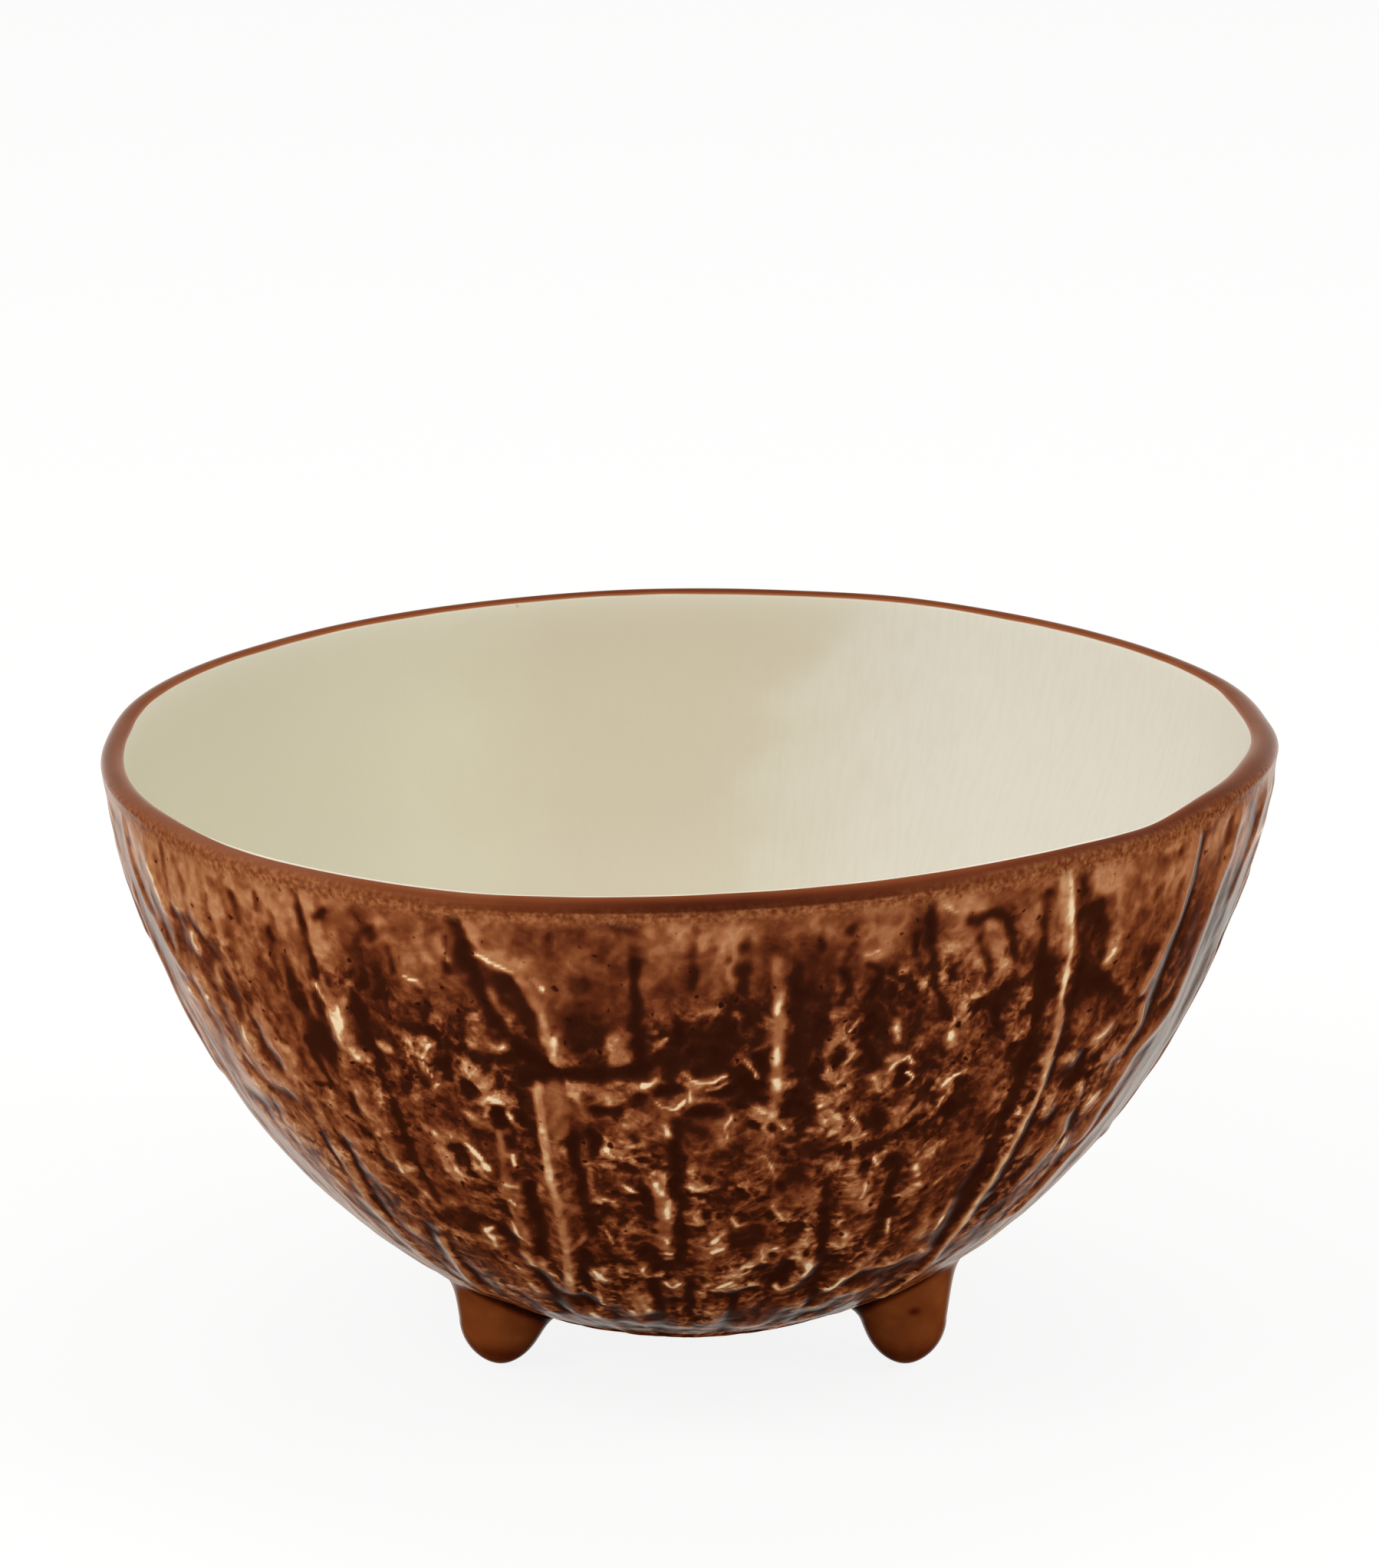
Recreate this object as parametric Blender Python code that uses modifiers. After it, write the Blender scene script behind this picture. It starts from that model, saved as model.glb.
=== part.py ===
"""Coconut-shaped ceramic bowl: the lower half of a nut, cast in earthenware, on three feet.

Units are metres and +Z is up. The origin lies on the table under the middle of the bowl,
and the side seen first faces -Y. The bowl is a husk-textured clay shell, a cream glaze
coat that lines it, a brown glaze band over the lip, and three feet luted on with slip.
"""

import math

import bpy

# Driving dimensions of the nut
RIM_RADIUS = 0.0778  # outside of the bowl at its rim
RIM_HEIGHT = 0.0833  # mean height of the rim above the table
BASE_CLEARANCE = 0.0022  # the lowest point of the shell above the table
CUT_BELOW_EQUATOR = 0.0216  # the nut is cut this far below its widest section
RIM_TILT = 0.0014  # the cut isn't level: it rises this much towards RIM_TILT_ANGLE
RIM_TILT_ANGLE = math.radians(-30)
RIM_WARP = 0.0005  # and it is warped: two crests this high, one at RIM_WARP_ANGLE
RIM_WARP_ANGLE = math.radians(-60)
RIM_WAVE = 0.0003  # the cut isn't quite round: it swells by this much
RIM_WAVE_LOBES = 5
RIM_SHAPE_POWER = 3  # how fast tilt, warp and wave die out below the rim

# Driving dimensions of the wall
WALL = 0.0044  # whole wall at the bottom, clay and glaze
LIP = 0.0030  # whole wall at the rim, with glaze on both sides
LIP_CROWN = 0.0010  # the lip is rounded over by this much
LIP_TAPER = 0.0300  # the wall thins over this length below the rim
GLAZE = 0.0005  # each glaze coat
SLIP_LINE = 0.0003  # clearance between pieces that are joined
BAND_OUTSIDE = 0.0010  # skirt of the rim band below the round of the lip, outside
BAND_INSIDE = 0.0002  # the same, inside

# Driving dimensions of the husk furrows
HUSK_DEPTH = 0.0014  # from the crests to the bottoms of the furrows
HUSK_PROUD = 0.35  # share of the depth that stands proud of the nut's outline
HUSK_FURROWS = 16
HUSK_FIBRES = 23  # a second set that breaks up the furrows
HUSK_FIBRE_SHARE = 0.4
HUSK_SWAY = 0.6  # angle by which the furrows wander, counted in their own turns
HUSK_FADE = 0.0100  # the furrows run out over this height under the rim band
HUSK_BASE_RADIUS = 0.0200  # and inside this radius under the bowl

# Driving dimensions of the feet
FOOT_CIRCLE = 0.0310  # radius of the circle through the feet
FOOT_CIRCLE_CENTRE = (0.0021, 0.0020)  # set by hand, so a little off the bowl's axis
FOOT_PAD = 0.0018  # radius of the flat that stands on the table
FOOT_TIP_HEIGHT = 0.0044  # the rounded tip ends at the waist
FOOT_WAIST = 0.0050  # radius at the waist
FOOT_ROOT = 0.0066  # radius where the foot's axis meets the shell
FOOT_FLARE = 1.2  # how the foot swells from waist to root: 1 is a cone
FOOT_NAMES = ("foot_back", "foot_front_left", "foot_front_right")

# Facets
TURN_STEPS = 80
FOOT_TURN_STEPS = 28
OUTSIDE_POINTS = 20
INSIDE_POINTS = 12
LIP_POINTS = 4
FOOT_TIP_POINTS = 5
FOOT_STEM_POINTS = 5
AXIS_MERGE = 0.00001
SHARP_EDGE = math.radians(40)

# Colours as sRGB hex, and roughness
HUSK_GLAZE = ("#7a4020", 0.22)
CREAM_GLAZE = ("#cfc7ab", 0.18)
BAND_GLAZE = ("#6f3618", 0.20)
FOOT_GLAZE = ("#74401c", 0.16)

NUT_HALF_HEIGHT = RIM_HEIGHT - BASE_CLEARANCE + CUT_BELOW_EQUATOR
NUT_RADIUS = RIM_RADIUS / math.sqrt(1 - (CUT_BELOW_EQUATOR / NUT_HALF_HEIGHT) ** 2)
NUT_CENTRE = BASE_CLEARANCE + NUT_HALF_HEIGHT
COAT = GLAZE + SLIP_LINE
STEM_REACH = 2 * FOOT_ROOT  # an uncut foot is as tall as the shell this far outside its axis
SEAT_REACH = 3 * FOOT_ROOT  # and the seat that copes it is taller still


def smooth_step(low, high, value):
    share = min(max((value - low) / (high - low), 0.0), 1.0)
    return share * share * (3 - 2 * share)


# The nut's wall: a turn angle runs from 0 at the bottom pole to a quarter turn at the equator
def outward(turn):
    """Unit normal of the nut's outside, as (radial, up)."""
    radial = math.sin(turn) / NUT_RADIUS
    up = -math.cos(turn) / NUT_HALF_HEIGHT
    length = math.hypot(radial, up)
    return radial / length, up / length


def wall_point(turn, depth):
    """Point of the wall at this depth below the nut's outside, as (radius, height)."""
    radial, up = outward(turn)
    radius = NUT_RADIUS * math.sin(turn) - radial * depth
    height = NUT_CENTRE - NUT_HALF_HEIGHT * math.cos(turn) - up * depth
    return radius, height


def turn_below(turn, length):
    """The turn angle this length further down the nut's outside."""
    along = math.hypot(NUT_RADIUS * math.cos(turn), NUT_HALF_HEIGHT * math.sin(turn))
    return turn - length / along


def turn_at_height(height):
    return math.acos((NUT_CENTRE - height) / NUT_HALF_HEIGHT)


def nut_height(radius):
    """Height of the nut's outside at this distance from its axis."""
    return NUT_CENTRE - NUT_HALF_HEIGHT * math.sqrt(1 - (radius / NUT_RADIUS) ** 2)


RIM_OUT, RIM_LEAN = outward(turn_at_height(RIM_HEIGHT))
LIP_RISE = math.hypot(LIP / 2 * RIM_LEAN, LIP_CROWN * RIM_OUT)
LIP_TURN = turn_at_height(RIM_HEIGHT - LIP_RISE + LIP / 2 * RIM_LEAN)
BAND_TURN = turn_below(LIP_TURN, BAND_OUTSIDE)
SEAT_TURN = turn_below(LIP_TURN, BAND_OUTSIDE + SLIP_LINE)
INNER_BAND_TURN = turn_below(LIP_TURN, BAND_INSIDE)
LINING_TURN = turn_below(LIP_TURN, BAND_INSIDE + SLIP_LINE)
TAPER_TURN = turn_below(LIP_TURN, LIP_TAPER)


def whole_wall(turn):
    """Clay, slip line and lining together."""
    return WALL + (LIP - WALL) * smooth_step(TAPER_TURN, LIP_TURN, turn)


def spread(first, last, count):
    """Evenly spaced values from first to last, both included."""
    return [first + (last - first) * i / (count - 1) for i in range(count)]


def lip_arc(coat):
    """Half ellipse over the lip, this far below its face, from the inside to the outside."""
    radial, up = outward(LIP_TURN)
    middle = wall_point(LIP_TURN, LIP / 2)
    points = []
    for angle in spread(math.pi, 0.0, LIP_POINTS + 1):
        across = (LIP / 2 - coat) * math.cos(angle)
        along = (LIP_CROWN - coat) * math.sin(angle)
        points.append((middle[0] + across * radial - along * up, middle[1] + across * up + along * radial))
    return points


def husk_turns():
    """The turn angles of the shell's outside, so that the feet are coped on the same facets."""
    return spread(SEAT_TURN, 0.0, OUTSIDE_POINTS)


# Profiles as (radius, height), each running up the inside, over the top and down the outside
def shell_profile():
    turns = spread(0.0, LIP_TURN, INSIDE_POINTS)
    inside = [wall_point(turn, whole_wall(turn) - COAT) for turn in turns[:-1]]
    lip = lip_arc(COAT)
    seat = [wall_point(SEAT_TURN, COAT)]
    outside = [wall_point(turn, 0.0) for turn in husk_turns()]
    return inside + lip + seat + outside


def lining_profile():
    turns = spread(0.0, LINING_TURN, INSIDE_POINTS)
    inside = [wall_point(turn, whole_wall(turn)) for turn in turns]
    outside = [wall_point(turn, whole_wall(turn) - GLAZE) for turn in reversed(turns)]
    return inside + outside


def band_profile():
    over = lip_arc(0.0)
    outer_skirt = [wall_point(BAND_TURN, 0.0), wall_point(BAND_TURN, GLAZE)]
    under = lip_arc(GLAZE)[::-1]
    inner_depth = whole_wall(INNER_BAND_TURN)
    inner_skirt = [
        wall_point(INNER_BAND_TURN, inner_depth - GLAZE),
        wall_point(INNER_BAND_TURN, inner_depth),
    ]
    return over + outer_skirt + under + inner_skirt


def seat_profile(top):
    """The nut's outside, one slip line larger, up to this height: it copes the feet."""
    top_turn = turn_at_height(top)
    outside = [wall_point(turn, -SLIP_LINE) for turn in husk_turns() if turn < top_turn]
    top_edge = wall_point(top_turn, -SLIP_LINE)
    return [(0.0, top_edge[1]), top_edge] + outside


def foot_profile(root_height, top):
    """A rounded tip on a flat pad, and a stem that flares up into the shell."""
    stem = []
    for height in spread(top, FOOT_TIP_HEIGHT, FOOT_STEM_POINTS):
        share = (height - FOOT_TIP_HEIGHT) / (root_height - FOOT_TIP_HEIGHT)
        stem.append((FOOT_WAIST + (FOOT_ROOT - FOOT_WAIST) * share**FOOT_FLARE, height))
    tip = []
    for angle in spread(math.pi / 2, 0.0, FOOT_TIP_POINTS + 1)[1:]:
        radius = FOOT_PAD + (FOOT_WAIST - FOOT_PAD) * math.sin(angle)
        tip.append((radius, FOOT_TIP_HEIGHT * (1 - math.cos(angle))))
    return [(0.0, top)] + stem + tip + [(0.0, 0.0)]


# The hand-made shape, given to the turned pieces by moving their points
def rim_lift(angle):
    tilt = RIM_TILT * math.cos(angle - RIM_TILT_ANGLE)
    return tilt + RIM_WARP * math.cos(2 * (angle - RIM_WARP_ANGLE))


def rim_swell(angle):
    return RIM_WAVE * math.cos(RIM_WAVE_LOBES * angle)


def husk_depth(angle, radius, height):
    """Depth of the fibre furrows, none at the rim band or under the middle of the bowl."""
    sway = HUSK_SWAY * math.sin(math.tau * height / RIM_HEIGHT + 2 * angle)
    furrow = 0.5 + 0.5 * math.cos(HUSK_FURROWS * angle + sway)
    fibre = 1 - HUSK_FIBRE_SHARE * (1 - math.cos(HUSK_FIBRES * angle - sway))
    band_edge = wall_point(SEAT_TURN, 0.0)[1]
    under_band = 1 - smooth_step(band_edge - HUSK_FADE, band_edge, height)
    off_base = smooth_step(HUSK_BASE_RADIUS / 2, HUSK_BASE_RADIUS, radius)
    return HUSK_DEPTH * (furrow * fibre - HUSK_PROUD) * under_band * off_base


def on_outside(radius, height):
    size = math.hypot(radius / NUT_RADIUS, (NUT_CENTRE - height) / NUT_HALF_HEIGHT)
    return size > 1 - SLIP_LINE / (2 * NUT_HALF_HEIGHT)


def shape_by_hand(mesh, husk):
    """Tilts and swells the rim, and cuts furrows into the outside of a husk piece."""
    for vertex in mesh.vertices:
        x, y, height = vertex.co
        radius = math.hypot(x, y)
        angle = math.atan2(y, x)
        depth = 0.0
        if husk and on_outside(radius, height):
            depth = husk_depth(angle, radius, height)
        radial, up = outward(math.atan2(radius / NUT_RADIUS, (NUT_CENTRE - height) / NUT_HALF_HEIGHT))
        near_rim = (height / RIM_HEIGHT) ** RIM_SHAPE_POWER
        radius += rim_swell(angle) * near_rim - radial * depth
        height += rim_lift(angle) * near_rim - up * depth
        vertex.co = (radius * math.cos(angle), radius * math.sin(angle), height)


# Blender objects
def clear_scene():
    for obj in list(bpy.data.objects):
        bpy.data.objects.remove(obj, do_unlink=True)


def new_collection(name):
    collection = bpy.data.collections.new(name)
    bpy.context.scene.collection.children.link(collection)
    return collection


def linear_colour(hex_colour):
    channels = [int(hex_colour[i : i + 2], 16) / 255 for i in (1, 3, 5)]
    linear = [c / 12.92 if c <= 0.04045 else ((c + 0.055) / 1.055) ** 2.4 for c in channels]
    return (*linear, 1.0)


def glaze_material(name, finish):
    hex_colour, roughness = finish
    material = bpy.data.materials.new(name)
    material.use_nodes = True
    shader = material.node_tree.nodes["Principled BSDF"]
    shader.inputs["Base Color"].default_value = linear_colour(hex_colour)
    shader.inputs["Roughness"].default_value = roughness
    shader.inputs["Metallic"].default_value = 0.0
    material.diffuse_color = linear_colour(hex_colour)
    return material


def turned(name, profile, steps, collection, ring=False):
    """A profile turned about Z. A ring's profile closes on itself, any other ends on the axis."""
    mesh = bpy.data.meshes.new(name)
    edges = [(i, i + 1) for i in range(len(profile) - 1)]
    if ring:
        edges.append((len(profile) - 1, 0))
    mesh.from_pydata([(radius, 0.0, height) for radius, height in profile], edges, [])
    obj = bpy.data.objects.new(name, mesh)
    collection.objects.link(obj)
    screw = obj.modifiers.new("turn", "SCREW")
    screw.axis = "Z"
    screw.angle = math.tau
    screw.steps = steps
    screw.render_steps = steps
    screw.use_merge_vertices = True
    screw.merge_threshold = AXIS_MERGE
    screw.use_smooth_shade = True
    return obj


def hand_shaped(obj, husk=False):
    """Makes a turned object a plain mesh and gives it the hand-made shape."""
    bpy.context.view_layer.update()
    graph = bpy.context.evaluated_depsgraph_get()
    turned_mesh = bpy.data.meshes.new_from_object(obj.evaluated_get(graph))
    obj.modifiers.clear()
    outline = obj.data
    obj.data = turned_mesh
    bpy.data.meshes.remove(outline)
    turned_mesh.name = obj.name
    shape_by_hand(turned_mesh, husk)
    turned_mesh.shade_smooth()
    turned_mesh.set_sharp_from_angle(angle=SHARP_EDGE)
    return obj


def finish(obj, material, parent):
    obj.data.materials.clear()
    obj.data.materials.append(material)
    obj.parent = parent
    return obj


def foot_places():
    """Name and place of each foot on the foot circle, from the back one round by the left."""
    centre_x, centre_y = FOOT_CIRCLE_CENTRE
    for i, name in enumerate(FOOT_NAMES):
        angle = math.pi / 2 + math.tau * i / len(FOOT_NAMES)
        x = centre_x + FOOT_CIRCLE * math.cos(angle)
        y = centre_y + FOOT_CIRCLE * math.sin(angle)
        yield name, x, y


def make_feet(parts, cutters, material, bowl):
    reach = max(math.hypot(x, y) for _, x, y in foot_places()) + SEAT_REACH
    seat = turned("foot_seat", seat_profile(nut_height(reach)), TURN_STEPS, cutters)
    hand_shaped(seat, husk=True)
    seat.hide_render = True
    seat.display_type = "WIRE"
    seat.parent = bowl
    for name, x, y in foot_places():
        from_axis = math.hypot(x, y)
        profile = foot_profile(nut_height(from_axis), nut_height(from_axis + STEM_REACH))
        foot = turned(name, profile, FOOT_TURN_STEPS, parts)
        finish(foot, material, bowl)
        foot.location = (x, y, 0.0)
        cope = foot.modifiers.new("cope", "BOOLEAN")
        cope.operation = "DIFFERENCE"
        cope.solver = "EXACT"
        cope.object = seat


def main():
    clear_scene()
    parts = new_collection("coconut_bowl")
    cutters = new_collection("coconut_bowl_cutters")
    bowl = bpy.data.objects.new("coconut_bowl", None)
    parts.objects.link(bowl)

    shell = hand_shaped(turned("husk_shell", shell_profile(), TURN_STEPS, parts), husk=True)
    finish(shell, glaze_material("husk_brown_glaze", HUSK_GLAZE), bowl)
    lining = hand_shaped(turned("inner_glaze", lining_profile(), TURN_STEPS, parts))
    finish(lining, glaze_material("cream_lining_glaze", CREAM_GLAZE), bowl)
    band = hand_shaped(turned("rim_band", band_profile(), TURN_STEPS, parts, ring=True))
    finish(band, glaze_material("rim_brown_glaze", BAND_GLAZE), bowl)
    make_feet(parts, cutters, glaze_material("foot_brown_glaze", FOOT_GLAZE), bowl)


main()
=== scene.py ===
"""Looks of the coconut-shaped ceramic bowl: husk relief, pooled glazes, studio light and camera.

Lengths are millimetres until a mesh is made. A place on the outside is given as (around, down):
degrees from the middle of the front, positive to the right, and length below the rim along the wall.
"""

import math
from types import SimpleNamespace

import bpy
import numpy as np
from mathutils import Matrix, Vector


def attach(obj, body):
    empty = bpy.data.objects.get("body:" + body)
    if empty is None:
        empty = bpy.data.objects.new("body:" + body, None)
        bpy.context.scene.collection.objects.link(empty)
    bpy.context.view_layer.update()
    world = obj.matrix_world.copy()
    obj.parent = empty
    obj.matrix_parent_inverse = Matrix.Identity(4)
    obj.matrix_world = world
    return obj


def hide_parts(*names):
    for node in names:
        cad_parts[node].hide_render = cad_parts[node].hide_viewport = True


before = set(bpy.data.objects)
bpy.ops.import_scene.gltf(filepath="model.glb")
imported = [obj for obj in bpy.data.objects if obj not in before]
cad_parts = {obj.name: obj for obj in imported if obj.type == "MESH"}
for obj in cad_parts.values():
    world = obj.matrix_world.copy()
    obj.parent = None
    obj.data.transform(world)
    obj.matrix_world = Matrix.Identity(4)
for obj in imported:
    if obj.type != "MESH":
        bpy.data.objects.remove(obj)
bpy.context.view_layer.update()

# The picture's frame
PICTURE_WIDTH = 1798
PICTURE_HEIGHT = 2044

# The nut and its wall, as the frame has them
RIM_RADIUS = 77.8
RIM_HEIGHT = 83.3
BASE_CLEARANCE = 2.2
CUT_BELOW_EQUATOR = 21.6
RIM_TILT = 1.4
RIM_TILT_ANGLE = math.radians(-30)
RIM_WARP = 0.5
RIM_WARP_ANGLE = math.radians(-60)
RIM_WAVE = 0.3
RIM_WAVE_LOBES = 5
RIM_SHAPE_POWER = 3
WALL = 4.4
LIP = 3.0
LIP_CROWN = 1.0
LIP_TAPER = 30.0
GLAZE = 0.5
COAT = 0.8
BAND_OUTSIDE = 1.0
BAND_INSIDE = 0.2

# The feet
FOOT_CIRCLE = 31.0
FOOT_CIRCLE_CENTRE = (2.1, 2.0)
FOOT_NAMES = ("foot_back", "foot_front_left", "foot_front_right")
FOOT_TIP_HEIGHT = 6.5
FOOT_TIP_POWER = 0.6
FOOT_WAIST = 5.5
FOOT_TAPER = 0.13  # it widens this much for each mm above the tip
FOOT_FLARE = 1.6
FOOT_FLARE_REACH = 1.3
FOOT_SINK = 0.5
# A spot of painted shade on the front of one foot, below its joint: the foot, its place, size and darkness
SHADE_SPOT_FOOT = "foot_front_right"
SHADE_SPOT_ACROSS = 1.0
SHADE_SPOT_HEIGHT = 9.3
SHADE_SPOT_HALF_WIDTH = 0.8
SHADE_SPOT_HALF_HEIGHT = 0.5
SHADE_SPOT_DEPTH = 0.5

# How fine the meshes are
COLUMNS = 1280
ROWS = 320
HIDDEN_ROWS = 14
LINING_COLUMNS = 480
LINING_ROWS = 130
BAND_COLUMNS = 1280
LIP_STEPS = 24
HIDDEN_LIP_STEPS = 5
BAND_UNDER_STEPS = 8
SKIRT_ROWS = 8
FOOT_COLUMNS = 96
FOOT_ROWS = 60
JOINT_STEPS = 73
JOINT_ROUNDS = 6
FINE_TURNS = 4000

# The cream glaze laps over the lip up to this angle, counted from the lip's outside
CREAM_LAP_BACK = 164.0
CREAM_LAP_FRONT = 98.0
CREAM_LAP_WANDER = 4.0
CREAM_LAP_GRAIN = 7.0
CREAM_LAP_SOFT = 6.0
CREAM_PALE_REACH = 2.4  # it is paler this far below the band, in mm
OCHRE_DOWN = 1.8  # the ochre grain runs out over this length below the band
OCHRE_SHARE = 0.8

METRES = 0.001
CORNER = math.radians(55)  # a steeper fold than this is shaded as an edge
NUT_HALF_HEIGHT = RIM_HEIGHT - BASE_CLEARANCE + CUT_BELOW_EQUATOR
NUT_RADIUS = RIM_RADIUS / math.sqrt(1 - (CUT_BELOW_EQUATOR / NUT_HALF_HEIGHT) ** 2)
NUT_CENTRE = BASE_CLEARANCE + NUT_HALF_HEIGHT
FIBRE_RADIUS = 62.0  # fibres are spaced as on a cylinder of this radius, so they meet under the bowl


def smooth_step(low, high, value):
    """0 up to low, 1 from high on, and smooth between them. It falls if low is the higher."""
    share = np.clip((value - low) / (high - low), 0.0, 1.0)
    return share * share * (3 - 2 * share)


def hill(value, middle, half_width):
    """A soft hill: 1 at its middle, and about a third at its half width."""
    return np.exp(-(((value - middle) / half_width) ** 2))


def round_steps(count):
    """Evenly spaced degrees round the bowl, from the back by the left."""
    return -180 + 360 * np.arange(count) / count


# The nut's wall: a turn runs from 0 at the bottom pole towards a quarter turn at the equator
def outward(turn):
    radial = np.sin(turn) / NUT_RADIUS
    up = -np.cos(turn) / NUT_HALF_HEIGHT
    length = np.hypot(radial, up)
    return radial / length, up / length


def wall_point(turn, depth):
    radial, up = outward(turn)
    radius = NUT_RADIUS * np.sin(turn) - radial * depth
    height = NUT_CENTRE - NUT_HALF_HEIGHT * np.cos(turn) - up * depth
    return radius, height


def turn_at_height(height):
    return np.arccos((NUT_CENTRE - height) / NUT_HALF_HEIGHT)


def turn_below(turn, length):
    along = np.hypot(NUT_RADIUS * np.cos(turn), NUT_HALF_HEIGHT * np.sin(turn))
    return turn - length / along


RIM_TURN = turn_at_height(RIM_HEIGHT)
RIM_OUT, RIM_LEAN = outward(RIM_TURN)
LIP_RISE = math.hypot(LIP / 2 * RIM_LEAN, LIP_CROWN * RIM_OUT)
LIP_TURN = turn_at_height(RIM_HEIGHT - LIP_RISE + LIP / 2 * RIM_LEAN)
BAND_TURN = turn_below(LIP_TURN, BAND_OUTSIDE)
INNER_BAND_TURN = turn_below(LIP_TURN, BAND_INSIDE)
TAPER_TURN = turn_below(LIP_TURN, LIP_TAPER)

# Length below the rim for a fine row of turns, to read either from the other
TURN_ROW = np.linspace(RIM_TURN, 0.0, FINE_TURNS)
STEP_ROW = np.hypot(NUT_RADIUS * np.cos(TURN_ROW), NUT_HALF_HEIGHT * np.sin(TURN_ROW))
DOWN_ROW = np.concatenate([[0.0], np.cumsum(STEP_ROW[:-1] * -np.diff(TURN_ROW))])
POLE_DOWN = float(DOWN_ROW[-1])


def down_at(turn):
    return np.interp(-turn, -TURN_ROW, DOWN_ROW)


def turn_down(down):
    return np.interp(down, DOWN_ROW, TURN_ROW)


BAND_DOWN = float(down_at(BAND_TURN))


def whole_wall(turn):
    return WALL + (LIP - WALL) * smooth_step(TAPER_TURN, LIP_TURN, turn)


# Dents and swells of the lip: (around, out, up, and how much further out on its inside)
RIM_DENTS = [
    (-173, 0.0, 0.4, 0.0), (-160, 0.0, 0.2, 0.0), (-130, 0.0, -0.1, 0.0), (-110, 0.15, 0.3, 0.0),
    (-104, 0.2, 0.25, 0.0), (-95, -0.35, 0.1, -0.15), (-85, -0.35, 0.1, -0.15), (-70, -0.4, 0.4, 0.0),
    (-60, -0.3, 0.5, 0.0), (-50, 0.0, 0.1, 0.0), (-38, 0.0, -0.2, 0.0), (-20, 0.0, -0.82, 0.0),
    (-8, 0.0, -0.55, 0.0), (5, 0.0, -0.2, 0.0), (30, 0.0, 0.18, 0.0), (41, 0.0, 0.05, 0.0),
    (50, 0.0, -0.5, 0.0), (60, -0.2, 0.4, -0.1), (68, -0.2, 0.3, -0.5), (75, -0.1, 0.38, -1.0),
    (85, -0.25, 0.1, -0.8), (95, -0.9, 0.0, -0.6), (101, -0.45, 0.0, -0.7), (108, 0.1, 0.0, -0.4),
    (118, 0.0, 0.05, 0.0), (145, 0.0, 0.3, 0.0), (157, 0.0, 0.55, 0.0), (168, 0.0, 0.3, 0.0),
]
RIM_DENT_SOFTNESS = 2.0  # degrees
RIM_DENT_POWER = 5  # how fast the dents die out below the rim
RIM_STEPS = 1440


def rim_dents():
    """The dents as smooth rows round the rim: steps in degrees, out, up and out on the inside."""
    steps = round_steps(RIM_STEPS)
    places, *dents = np.array(RIM_DENTS).T
    waves = np.fft.rfftfreq(RIM_STEPS, d=360 / RIM_STEPS)
    keep = np.exp(-2 * (math.pi * RIM_DENT_SOFTNESS * waves) ** 2)
    rows = [np.interp(steps, places, values, period=360) for values in dents]
    return steps, *[np.fft.irfft(np.fft.rfft(row) * keep, RIM_STEPS) for row in rows]


DENT_STEPS, DENT_OUT, DENT_UP, DENT_INSIDE = rim_dents()


def by_hand(radius, height, around, inside=0.0):
    """Points of the hand-made bowl: its rim's tilt, warp, wave and dents die out below the rim.

    Inside is 1 on the bowl's inner face and 0 on its outer one.
    """
    angle = np.radians(around - 90)
    near_rim = (height / RIM_HEIGHT) ** RIM_SHAPE_POWER
    at_rim = np.clip(height / RIM_HEIGHT, 0, 1) ** RIM_DENT_POWER
    lift = RIM_TILT * np.cos(angle - RIM_TILT_ANGLE) + RIM_WARP * np.cos(2 * (angle - RIM_WARP_ANGLE))
    out = np.interp(around, DENT_STEPS, DENT_OUT, period=360)
    out = out + inside * np.interp(around, DENT_STEPS, DENT_INSIDE, period=360)
    up = np.interp(around, DENT_STEPS, DENT_UP, period=360)
    radius = radius + RIM_WAVE * np.cos(RIM_WAVE_LOBES * angle) * near_rim + out * at_rim
    height = height + lift * near_rim + up * at_rim
    return np.stack([radius * np.cos(angle), radius * np.sin(angle), height], axis=-1)


# Noise on points, in cells of one unit
LAYER_TURN = np.array([[0.00, 0.80, 0.60], [-0.80, 0.36, -0.48], [-0.60, -0.48, 0.64]])
LAYER_FINER = 1.93
NOISE_SPREAD = 1.3  # brings gradient noise to about -1 to 1
CELL_PRIMES = (73856093, 19349663, 83492791)
SEED_PRIME = 668265263
MIXING = ((15, 2246822519), (13, 3266489917))
LAST_SHIFT = 16
TEN_BITS = 1023


def cell_number(cells, seed):
    """A well-mixed whole number for each cell."""
    mixed = np.uint32(seed * SEED_PRIME % 2**32)
    for axis, prime in enumerate(CELL_PRIMES):
        mixed = mixed ^ cells[..., axis].astype(np.uint32) * np.uint32(prime)
    for shift, factor in MIXING:
        mixed = (mixed ^ (mixed >> np.uint32(shift))) * np.uint32(factor)
    return mixed ^ (mixed >> np.uint32(LAST_SHIFT))


def three_shares(number):
    """Three values from 0 to 1 out of one number."""
    return [((number >> np.uint32(shift)) & np.uint32(TEN_BITS)) / TEN_BITS for shift in (0, 10, 20)]


def smooth_noise(points, seed):
    """Gradient noise, about -1 to 1."""
    floor = np.floor(points).astype(np.int64)
    inside = points - floor
    fade = inside**3 * (inside * (inside * 6 - 15) + 10)
    total = np.zeros(points.shape[:-1])
    for corner in np.ndindex(2, 2, 2):
        gradient = three_shares(cell_number(floor + corner, seed))
        weight = np.ones(points.shape[:-1])
        slope = np.zeros(points.shape[:-1])
        for axis in range(3):
            share = fade[..., axis]
            weight = weight * (share if corner[axis] else 1 - share)
            slope = slope + (2 * gradient[axis] - 1) * (inside[..., axis] - corner[axis])
        total += weight * slope
    return total * NOISE_SPREAD


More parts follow.
